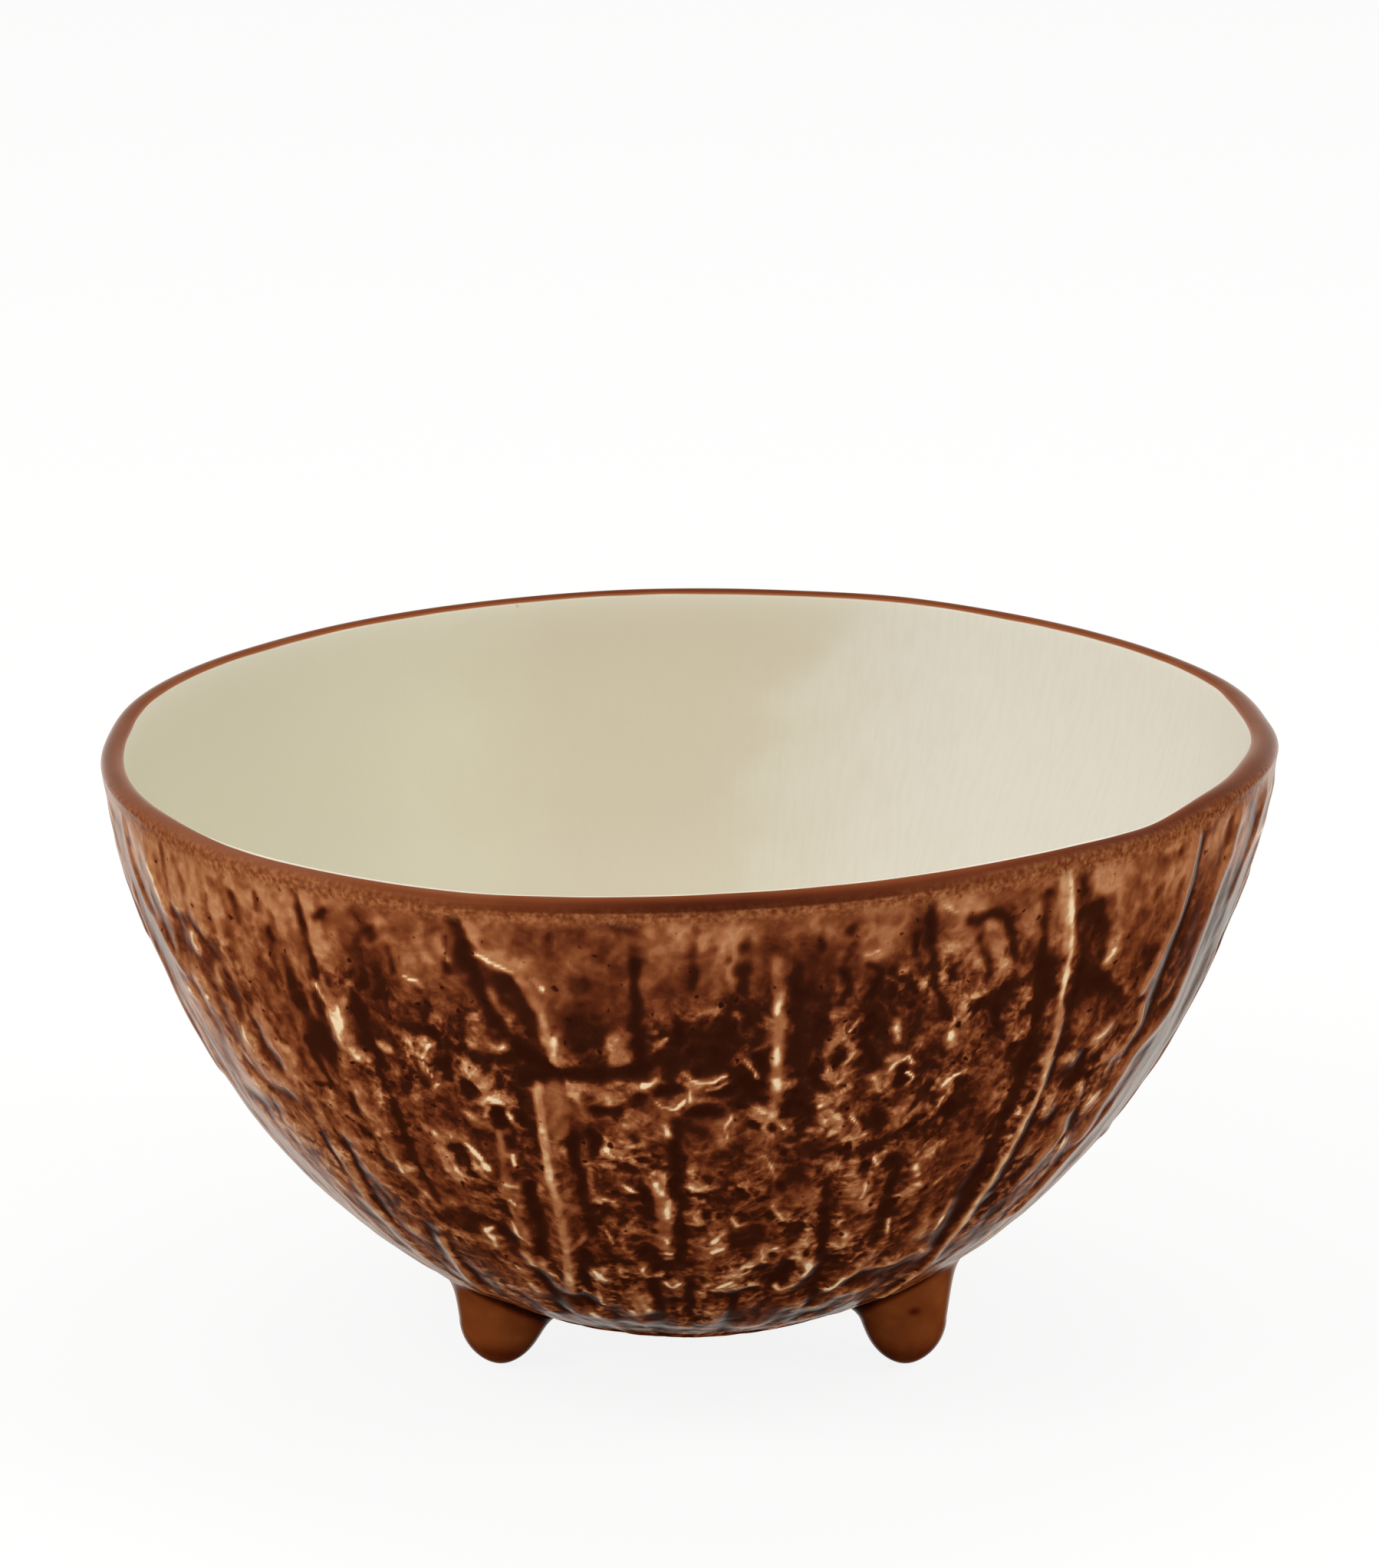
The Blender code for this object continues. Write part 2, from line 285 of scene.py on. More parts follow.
def layered_noise(points, layers, seed, keep=0.5):
    """Layers of noise, each turned in space, about twice as fine as the one before and weaker."""
    total = 0.0
    for layer in range(layers):
        total = total + smooth_noise(points, seed + layer) * keep**layer
        points = points @ LAYER_TURN * LAYER_FINER
    return total


def flakes(points, seed):
    """Tilted plates about one unit wide, each about its own jittered point, about -1 to 1."""
    floor = np.floor(points).astype(np.int64)
    nearest = np.full(points.shape[:-1], np.inf)
    height = np.zeros(points.shape[:-1])
    for step in np.ndindex(3, 3, 3):
        cell = floor + step - 1
        away = points - cell - np.stack(three_shares(cell_number(cell, seed)), axis=-1)
        lean = np.stack(three_shares(cell_number(cell, seed + 1)), axis=-1) - 0.5
        distance = (away**2).sum(axis=-1)
        closer = distance < nearest
        nearest = np.where(closer, distance, nearest)
        height = np.where(closer, 2 * (away * lean).sum(axis=-1) + lean[..., 0], height)
    return height


def even(values):
    """The same values with a mean of 0 and a spread of 1."""
    return (values - values.mean()) / values.std()


def blurred(values, sigma_rows):
    """Gaussian blur over the grid of the outside: it wraps around and mirrors at top and bottom."""
    mirrored = np.concatenate([values, values[::-1]])
    down_waves = np.fft.fftfreq(mirrored.shape[0])[:, None]
    around_waves = np.fft.rfftfreq(mirrored.shape[1])[None, :]
    pass_share = np.exp(-2 * (math.pi * sigma_rows) ** 2 * (down_waves**2 + around_waves**2))
    return np.fft.irfft2(np.fft.rfft2(mirrored) * pass_share, s=mirrored.shape)[: values.shape[0]]


# The grid of the outside
AROUND = round_steps(COLUMNS)
DOWN = np.linspace(BAND_DOWN, POLE_DOWN, ROWS)
ROW_MM = DOWN[1] - DOWN[0]
GRID_AROUND, GRID_DOWN = np.meshgrid(AROUND, DOWN)
GRID_TURN = turn_down(GRID_DOWN)
GRID_RADIUS = NUT_RADIUS * np.sin(GRID_TURN)
ANGLE = np.radians(GRID_AROUND - 90)
ON_NUT = np.stack(
    [
        GRID_RADIUS * np.cos(ANGLE),
        GRID_RADIUS * np.sin(ANGLE),
        NUT_CENTRE - NUT_HALF_HEIGHT * np.cos(GRID_TURN),
    ],
    axis=-1,
)
ON_FIBRE = np.stack([FIBRE_RADIUS * np.cos(ANGLE), FIBRE_RADIUS * np.sin(ANGLE), GRID_DOWN], axis=-1)

# Marks on the front, listed one by one. A ridge is (half width, height, how bare its crest is, path)
RIDGES = [
    (1.3, 0.25, 0.5, [(36.9, 2), (37.2, 5), (38.2, 9.5), (39, 13)]),
    (0.55, 0.28, 0.8, [(37.5, 2), (37.9, 5), (38.8, 10), (39.5, 14), (39.6, 18), (39.8, 21)]),
    (0.55, 0.75, 0.45, [(39.8, 21), (40.2, 25), (40.6, 30)]),
    (0.5, 0.75, 0.75, [(40.7, 30), (40.9, 36), (40.6, 46), (40.2, 56), (40.8, 64), (41.5, 72), (40, 80)]),
    (0.65, 0.7, 0.75, [(-15, 27.5), (-15.3, 34), (-15.6, 42), (-15.3, 49), (-16, 58), (-17.5, 66),
     (-18.7, 71)]),
    (1.4, 0.35, 0.3, [(-13.4, 28), (-13.4, 34.5)]),
    (0.7, 0.5, 0.05, [(8.2, 9), (8.5, 15), (8.8, 20), (9, 29)]),
    (0.4, 0.5, 0.6, [(-37.5, 15), (-36.6, 18), (-35.4, 19.6)]),
    (0.9, 0.7, 0.9, [(-36.2, 20.4), (-37, 23.4), (-36.4, 25)]),
    (0.5, 0.6, 0.8, [(-35, 18), (-36.2, 20.4)]),
    (0.5, 0.6, 0.8, [(-36.4, 25), (-35.3, 27)]),
    (0.7, 0.45, 0.5, [(-15.5, 11), (-14.2, 15), (-13.3, 20), (-12.7, 23.5)]),
    (0.5, 0.6, 0.7, [(-63.6, 8), (-62.4, 12.5)]),
    (1.0, 0.4, 0.1, [(-70, 2), (-71, 8), (-69, 15), (-63, 22)]),
    (1.1, 0.6, 0.2, [(56.2, 1.5), (56.4, 8), (56, 14), (54.8, 18), (53, 23)]),
    (1.5, 0.5, 0.1, [(66.5, 2), (65.6, 9), (64, 15), (63.6, 22), (63, 28), (60, 32), (57.5, 34),
     (56.5, 40), (56, 48)]),
    (0.8, 0.6, 0.2, [(54, 26), (55.2, 29), (54, 32), (51, 33)]),
    (0.8, 0.5, 0.2, [(48.6, 42), (49.4, 45), (48.4, 49), (47, 53)]),
    (1.2, 0.5, 0.1, [(60, 45), (57.5, 50), (55.4, 55), (54.6, 62)]),
    (0.9, 0.25, 0.1, [(-3.4, 43), (-3, 50), (-3, 57)]),
    (0.5, 0.5, 0.5, [(16.4, 61), (17.6, 64), (17.2, 66.5)]),
    (0.5, 0.55, 0.6, [(23, 71.5), (24.8, 68.5), (26.5, 65.6), (31, 66.6), (35.6, 64)]),
    (0.4, 0.45, 0.6, [(35, 58.5), (35.3, 53)]),
    (0.4, 0.4, 0.5, [(-15.4, 58.5), (-13.2, 55.5)]),
    (0.6, 0.35, 0.2, [(-20.5, 36), (-21, 44), (-21.8, 50), (-21.5, 57)]),
    (0.7, 0.55, 0.4, [(-40, 78), (-39, 72), (-36.5, 62)]),
    (1.0, 0.4, 0.1, [(75.5, 2.5), (74, 9), (71, 16)]),
    (1.0, 0.4, 0.1, [(80.5, 2.5), (79.5, 10), (77, 20)]),
    (1.2, 0.35, 0.1, [(-77, 3), (-77.5, 9), (-76, 17)]),
]
# Glints, where the glaze ran thin over a sharp edge: (half width, how bare, path)
GLINTS = [
    (0.6, 1.0, [(-63.6, 7.5), (-63, 10), (-62.2, 13)]),
    (0.45, 1.3, [(-57.6, 14.8), (-57.5, 16), (-57, 17)]), (0.5, 0.9, [(-63.2, 26), (-62.2, 26)]),
    (0.5, 0.9, [(-59, 25.6), (-58.2, 25)]), (0.4, 0.9, [(-60, 23), (-59, 22.8)]),
    (0.45, 0.8, [(-53.2, 27.8), (-53.6, 29.8), (-53, 31.4)]), (0.4, 0.8, [(-53, 31.4), (-52, 33)]),
    (0.8, 0.8, [(-57.2, 37.8), (-56.6, 38.6)]), (0.5, 0.7, [(-50, 35.6), (-49.2, 36.6)]),
    (0.35, 1.2, [(-38.4, 16.4), (-37.7, 18.2), (-37, 19.8)]),
    (0.5, 1.4, [(-37, 19.8), (-36.9, 21.6), (-36.5, 23.4), (-35.7, 25.6)]),
    (0.4, 1.3, [(-35.9, 19.2), (-35.9, 20.6), (-36.3, 22.2)]), (0.6, 0.8, [(-37.6, 33), (-36.8, 37)]),
    (0.7, 0.5, [(-36.4, 39), (-36, 46)]), (0.5, 0.8, [(-34.2, 50.4), (-34, 51.6)]),
    (0.4, 0.8, [(-41.8, 42), (-41.4, 45), (-41, 49)]), (0.7, 0.5, [(-51.4, 54.4), (-51.2, 55.8)]),
    (1.0, 0.4, [(-48.2, 24.5), (-47.7, 29)]), (0.8, 0.4, [(-46.8, 30), (-46.4, 32)]),
    (0.5, 0.9, [(8.4, 13.4), (8.5, 15.8)]), (0.4, 0.9, [(8.8, 21.4), (8.8, 23.4)]),
    (0.7, 1.0, [(9, 25.9), (9.1, 27.2)]), (0.4, 0.9, [(-3.1, 20.5), (-2, 19.7)]),
    (0.32, 1.1, [(-0.4, 24.6), (0.6, 25.7), (1.6, 26.2), (2.8, 26.2), (3.7, 25.3)]),
    (0.22, 0.6, [(1.9, 27.1), (3.2, 27.2), (3.9, 26.7)]), (0.4, 0.9, [(-4.6, 26.3), (-3.1, 25.6)]),
    (0.32, 1.0, [(-3.1, 29.2), (-2.2, 30.2), (-1, 30.2), (-0.2, 29.2)]),
    (0.4, 0.9, [(0.3, 27.6), (0.6, 29.2)]), (0.32, 0.9, [(4.3, 31.8), (3.9, 34), (4.2, 35.2)]),
    (0.45, 0.8, [(-2.2, 33.2), (-2.1, 35)]), (0.6, 0.9, [(7.3, 30.4), (8.5, 30.8), (9, 31.8)]),
    (0.32, 0.9, [(9, 31.8), (9.6, 33), (10.3, 34)]), (0.26, 0.7, [(5.6, 23), (6.6, 24.5), (7, 25.8)]),
    (0.28, 1.0, [(15.9, 19.5), (16.7, 18.2)]), (0.3, 0.6, [(13.4, 23), (14.5, 21.6), (15, 20.4)]),
    (0.3, 0.6, [(15.8, 20.4), (16.3, 22.1)]), (0.28, 0.8, [(15.5, 24.4), (16.6, 22.9)]),
    (0.4, 0.9, [(15.6, 25.2), (15.9, 26)]), (0.6, 0.8, [(13.6, 31), (14.4, 30.4)]),
    (0.5, 0.9, [(15.4, 30.8), (15.7, 29.7)]), (0.3, 0.9, [(17.4, 32.6), (18.3, 34), (18.8, 35.8)]),
    (0.5, 0.9, [(18.4, 36.7), (19.4, 36.5)]), (0.32, 1.0, [(20.5, 20), (20.9, 21.8)]),
    (0.36, 0.9, [(20.4, 27), (21.3, 25.3), (22.3, 24.6), (22.8, 25.6)]),
    (0.28, 1.1, [(22.5, 27.2), (23.4, 28), (22.8, 29.1)]), (0.4, 0.8, [(19.1, 27.4), (19.9, 29.3)]),
    (0.5, 0.7, [(23.2, 32), (22.7, 35.4)]), (0.26, 0.7, [(24.9, 32.4), (24.3, 33.8), (23.4, 35)]),
    (0.6, 0.9, [(26.6, 21.8), (26.9, 23.6)]), (0.36, 1.0, [(8.2, 38.6), (9, 40.4), (10, 42.4)]),
    (0.28, 1.0, [(21.1, 41.2), (21.8, 42.6)]), (0.5, 0.88, [(18.4, 41.4), (19.2, 41.6)]),
    (0.45, 1.0, [(-3.6, 43.4), (-2.8, 45.6)]), (0.4, 1.0, [(0.3, 44.2), (1.3, 45), (2.2, 44.1)]),
    (0.5, 1.0, [(-2.2, 47.2), (-2.6, 50.2)]), (0.45, 1.0, [(-3.1, 54.4), (-2.4, 55.8)]),
    (0.32, 1.0, [(0.8, 49.8), (1.5, 51.3)]), (0.5, 1.0, [(4.6, 53.8), (3.1, 55.8)]),
    (0.5, 1.0, [(3.3, 57.9), (4.6, 57.4)]), (0.36, 1.0, [(10.2, 48.7), (11.2, 50), (11.8, 51.5)]),
    (0.32, 1.0, [(6.9, 62.6), (7.6, 63.9), (8.9, 63.5)]), (0.4, 0.88, [(20.9, 45.6), (21.3, 48.6)]),
    (0.45, 1.0, [(4.4, 67.8), (6.4, 66)]), (0.4, 1.0, [(-3.1, 66.6), (-2.2, 68), (-1.2, 66.5)]),
    (0.45, 1.0, [(-26.3, 22.6), (-27.2, 24.8)]), (0.32, 0.9, [(-27.3, 25.6), (-26.6, 28)]),
    (0.32, 0.9, [(-26.8, 29.7), (-26.2, 28.9)]), (0.36, 0.9, [(-19.3, 21.5), (-18.6, 21.9), (-18, 21.6)]),
    (0.36, 0.8, [(-22.5, 25.4), (-21.7, 27.4), (-20.3, 27.6)]), (0.4, 0.7, [(-24, 33), (-22, 34.8)]),
    (0.5, 1.1, [(-21.6, 31), (-20.5, 29.8), (-19.2, 30.7)]), (0.32, 0.8, [(-21.9, 33.2), (-21, 31.6)]),
    (0.45, 1.1, [(-19.2, 32.6), (-18.9, 33.6)]), (0.32, 0.9, [(-26.6, 37), (-26.3, 37.8)]),
    (0.6, 0.88, [(-28.4, 37.4), (-27.9, 41.4), (-26.6, 45.6)]),
    (0.5, 1.0, [(-24.6, 38.6), (-23.6, 41), (-23, 43)]), (0.36, 1.0, [(-19.6, 40.2), (-19.4, 42)]),
    (0.6, 0.9, [(-12.9, 19.6), (-12.8, 22)]), (0.6, 0.8, [(-6.6, 19.6), (-6.2, 21.6)]),
    (0.6, 0.8, [(-7.9, 28.2), (-7.8, 29.6)]), (0.45, 1.0, [(-8.6, 37.4), (-8.1, 38.4)]),
    (0.45, 1.0, [(-21.2, 45.8), (-20.2, 46.1)]), (0.36, 1.0, [(-21.6, 48.7), (-21.2, 49.8)]),
    (0.32, 1.0, [(-22.7, 53.6), (-22.5, 57), (-21.4, 58.3)]), (0.4, 1.0, [(-27.4, 56.9), (-26, 56.2)]),
    (0.4, 1.0, [(-25.6, 65), (-25.1, 66)]), (0.28, 1.0, [(-9.9, 54), (-9.5, 56.2)]),
    (0.36, 1.0, [(-6.2, 62.6), (-6, 64.6)]), (0.36, 1.0, [(-12.8, 63.6), (-12, 65.8)]),
    (0.4, 1.0, [(-7.2, 44), (-6, 45.2)]), (0.4, 1.0, [(-9.8, 47.2), (-8.6, 47.6)]),
    (0.4, 0.8, [(27.2, 29.6), (29.4, 28.2)]), (0.36, 0.8, [(27.3, 31.6), (27, 33)]),
    (0.45, 0.9, [(45.2, 16.8), (46, 15.4)]), (0.4, 0.8, [(48, 28.4), (49.2, 27.2)]),
    (0.36, 0.7, [(44.2, 30), (45.2, 31.6)]), (0.36, 0.7, [(-59.2, 12), (-58.2, 11.6)]),
    (0.36, 0.8, [(-59.6, 23.3), (-58.4, 22.6)]), (0.6, 0.6, [(-52.2, 28.8), (-53.2, 30.4), (-53.6, 32)]),
    (0.5, 0.6, [(-56, 32.4), (-55, 34)]), (0.4, 0.8, [(-57, 37.6), (-56.6, 38.6)]),
    (0.5, 0.4, [(-49.2, 36.2), (-48.4, 37.6)]), (0.7, 0.6, [(-37.4, 33), (-36.8, 36.8)]),
    (0.4, 0.6, [(-35.9, 36), (-35.7, 37.2)]), (0.5, 0.75, [(-36.8, 39.6), (-36.2, 42.6)]),
    (0.5, 0.75, [(-36.3, 45), (-35.8, 47)]), (0.36, 0.62, [(-41.7, 41.4), (-41.1, 45)]),
    (0.5, 0.75, [(-41.2, 48.2), (-40.8, 50)]), (0.32, 0.9, [(-27.6, 12.6), (-26.2, 12.9)]),
    (0.28, 0.6, [(-23.3, 7.4), (-22.7, 9.4)]), (0.28, 0.7, [(16.7, 8.9), (18, 8.6)]),
    (0.4, 0.6, [(23.4, 3.6), (25.2, 5)]), (0.28, 0.8, [(-19.8, 8.4), (-18, 9.1), (-16.2, 10.2)]),
    (0.36, 0.7, [(-14.4, 11), (-13.6, 12.6)]), (0.36, 0.8, [(43.4, 37), (44.4, 40)]),
    (0.36, 0.8, [(48.8, 37), (49.2, 38.4)]), (0.4, 1.0, [(52.6, 39), (51.4, 41)]),
    (0.36, 1.0, [(51.2, 46.6), (52, 49.4)]), (0.6, 1.2, [(-36.4, 20.2), (-37, 22.8), (-36.6, 24.6)]),
    (0.36, 1.0, [(-36.6, 24.6), (-35.3, 26.6)]), (0.6, 0.75, [(-27.2, 57.6), (-27.1, 60.6)]),
    (0.7, 0.62, [(-22.6, 61), (-22, 63.6)]), (0.7, 0.75, [(-25.2, 70.2), (-25, 72.4)]),
    (0.6, 1.0, [(-3, 58.4), (-2.2, 58.6)]), (0.8, 0.69, [(-8, 71.5), (-7, 74), (-6.6, 76)]),
    (0.7, 0.75, [(-9.6, 75.8), (-9, 77)]), (0.45, 0.88, [(-14.4, 71), (-14.1, 74)]),
    (0.32, 1.0, [(-16.5, 70), (-16, 70.4)]), (0.7, 0.88, [(-17.4, 78.4), (-17, 79.8)]),
    (0.5, 0.62, [(-16, 77), (-14.9, 75.8)]), (0.36, 0.88, [(5.6, 50.4), (6.2, 52.2), (7.2, 52.4)]),
    (0.5, 0.88, [(7.2, 62.8), (8, 61.6), (9.2, 62)]), (0.3, 0.88, [(9.9, 58), (10, 60.6), (11, 61.4)]),
    (0.3, 0.88, [(10.8, 57.8), (11.8, 57.4)]), (0.4, 1.0, [(16.6, 62), (17.6, 64), (17.4, 65.6)]),
    (0.6, 0.75, [(13.6, 68.4), (14.8, 69.6), (16, 68.6)]),
    (0.4, 1.0, [(22.6, 71.4), (24, 70.6), (24.4, 68)]), (0.5, 0.75, [(26.6, 61.4), (26.1, 64.6)]),
    (0.36, 1.0, [(35.2, 55.4), (35, 58.8)]), (0.6, 1.0, [(35.2, 63.6), (36.4, 64.8)]),
    (0.5, 0.88, [(30.6, 65.6), (32.6, 66.4)]), (0.26, 0.88, [(26.2, 54.6), (27.2, 57.4)]),
    (0.5, 0.75, [(32.8, 57), (33.2, 60)]), (0.6, 0.62, [(20.4, 55.4), (21.2, 58.4)]),
    (0.4, 0.75, [(27.6, 47.2), (28.3, 47.8)]), (0.4, 0.62, [(30.8, 48), (31.4, 47)]),
    (0.7, 0.88, [(26.6, 43.6), (27.4, 45.6)]), (0.7, 0.75, [(19.2, 74.8), (20.2, 75.8)]),
    (0.9, 0.5, [(29.4, 73.4), (30.6, 74.4)]), (0.6, 0.44, [(26.4, 74.2), (27.4, 74.8)]),
    (0.8, 0.5, [(22.2, 78), (23.6, 78.4)]), (0.8, 0.44, [(14.2, 46.4), (14.8, 48.8)]),
    (0.6, 0.56, [(22.2, 48.6), (22.4, 51.6)]), (0.5, 1.0, [(3.2, 55.6), (4.2, 54.2)]),
]
# A groove is (half width, depth, path)
GROOVES = [
    (0.5, 0.8, [(-38.9, 3), (-38.5, 9), (-38.3, 15)]),
    (0.5, 0.6, [(-48, 44), (-48.3, 52)]),
    (0.6, 0.7, [(-43.4, 44), (-44.6, 52), (-45.8, 60)]),
    (0.9, 1.0, [(-16.5, 26.5), (-12, 25.3), (-8, 24.7), (-4.5, 24)]),
    (0.7, 0.3, [(-4.8, 6.4), (-4.8, 9)]),
    (0.6, 0.7, [(-4.8, 8.5), (-4.9, 14), (-4.9, 24)]),
    (0.8, 0.9, [(-21.8, 4), (-21, 8), (-20.2, 12), (-18.5, 18), (-16.5, 22), (-13.8, 24.5)]),
    (0.7, 0.9, [(-1.2, 33), (-1.2, 42), (-1, 50), (-0.8, 60)]),
    (0.5, 0.7, [(22.5, 2.5), (23, 8), (24, 14), (25.5, 19)]),
    (1.2, 1.0, [(36.8, 15), (37.4, 24), (37.3, 35), (37.6, 48), (38, 63)]),
    (0.6, 0.7, [(35.2, 5), (35.5, 9), (36.4, 15)]),
    (0.9, 0.45, [(39, 2.5), (40.6, 8), (41.8, 12), (42, 20), (42, 32), (42.4, 42), (42.2, 56)]),
    (0.4, 0.6, [(-38.7, 3), (-38.6, 8), (-38.3, 13)]),
    (0.7, 0.7, [(-33.8, 17), (-33.4, 22), (-32.6, 27)]),
    (0.5, 0.6, [(-33, 28), (-32.8, 40), (-33, 52)]),
    (0.9, 0.6, [(-37.5, 60), (-39.5, 65), (-41, 70)]),
    (0.7, 0.8, [(15.8, 45), (17.4, 55), (19, 63), (21, 73), (23, 82)]),
    (0.8, 0.7, [(24, 42), (24.8, 50), (26, 58)]),
    (0.7, 0.7, [(-12.4, 35), (-12, 44), (-11.8, 54)]),
    (0.8, 0.8, [(-13.5, 60), (-15, 65), (-16, 70)]),
    (0.8, 0.7, [(-22.5, 62), (-22, 70), (-23.5, 80)]),
    (0.7, 0.7, [(-5, 66), (-4.6, 75), (-6, 88)]),
    (0.6, 0.6, [(0.3, 65), (0.5, 78)]),
    (0.6, 0.6, [(-9.5, 66.5), (-5, 66)]),
    (0.5, 0.5, [(7.5, 70), (8, 90)]),
    (1.0, 0.8, [(58, 2.5), (58, 12), (57.2, 20), (56.8, 28)]),
    (0.8, 0.8, [(-18.5, 46), (-18.8, 54), (-20, 61)]),
    (0.6, 0.9, [(27, 6.6), (29, 5.9), (31, 7), (32, 10), (32.3, 12)]),
    (0.6, 0.8, [(28, 9), (29.4, 11.6), (30, 14)]),
    (0.3, 0.8, [(24.4, 32.2), (23.6, 34)]),
    (0.6, 0.9, [(-9.5, 31.1), (-7, 30.9)]),
    (0.4, 0.8, [(-9, 39.2), (-8, 39.4)]),
    (0.4, 0.9, [(0.6, 46), (2, 45.8)]),
    (0.3, 0.8, [(1.2, 26.9), (3.4, 26.8)]),
    (0.4, 0.8, [(-3.2, 56.6), (-2, 56.4)]),
    (0.4, 0.6, [(-35.5, 5), (-36.6, 6.2)]),
    (0.4, 0.6, [(-42.4, 26), (-41.5, 30), (-41, 33), (-43.4, 33.5)]),
    (0.4, 0.6, [(-38.6, 34), (-38.7, 36.4)]),
    (0.4, 0.6, [(-47.4, 24), (-46.2, 27.4)]),
    (0.7, 0.5, [(-60.4, 13), (-57.5, 12.7), (-55.4, 14.4), (-54, 17)]),
    (0.5, 0.5, [(-47.8, 46), (-48, 52), (-49, 57)]),
    (0.4, 0.5, [(-44.4, 5), (-44.6, 7)]),
    (0.5, 0.4, [(-48, 6), (-47.6, 10)]),
    (0.4, 0.6, [(-29, 8.6), (-28.7, 12)]),
    (0.3, 0.6, [(-22.9, 6.6), (-23, 11)]),
    (0.5, 0.4, [(0.5, 4), (0.7, 12)]),
    (0.3, 0.6, [(21.4, 7), (21.6, 10)]),
    (0.4, 0.6, [(14.4, 11), (15.4, 13.4), (14.6, 15.4)]),
    (0.4, 0.6, [(17, 10.4), (18.4, 12), (17.8, 14.4)]),
    (0.4, 0.6, [(19.4, 12), (20.4, 13.4)]),
]
# The edge of a plate is (height, path): what lies left of the path, seen along it, is the higher
PLATE_EDGES = [
    (0.7, [(-21.2, 1.5), (-20.6, 6), (-19.4, 8.6), (-16.6, 9.8), (-15.2, 13), (-14.4, 18), (-12.9, 24)]),
    (0.5, [(-4.6, 26), (-15.4, 27), (-15.6, 36)]),
    (0.6, [(43, 9), (44.6, 13), (45, 18), (49, 22)]),
]
# Where the clay was left smooth: (around, down, half width, half height, how smooth)
SMOOTH_AREAS = [
    (-12, 11, 13, 9, 0.9), (3, 9, 14, 5, 0.8), (-13.5, 31, 4, 4, 0.8), (-30, 8, 14, 5, 0.7),
    (-40, 28, 6, 14, 0.5), (14, 9, 12, 4, 0.7), (33, 45, 4, 22, 0.6), (-18, 50, 5, 10, 0.5),
    (49, 14, 7, 12, 0.5), (-52, 22, 12, 16, 0.5), (-9, 13, 8, 6, 0.6), (1, 33, 4, 3, 0.5),
    (-30, 49, 5, 6, 0.6),
]
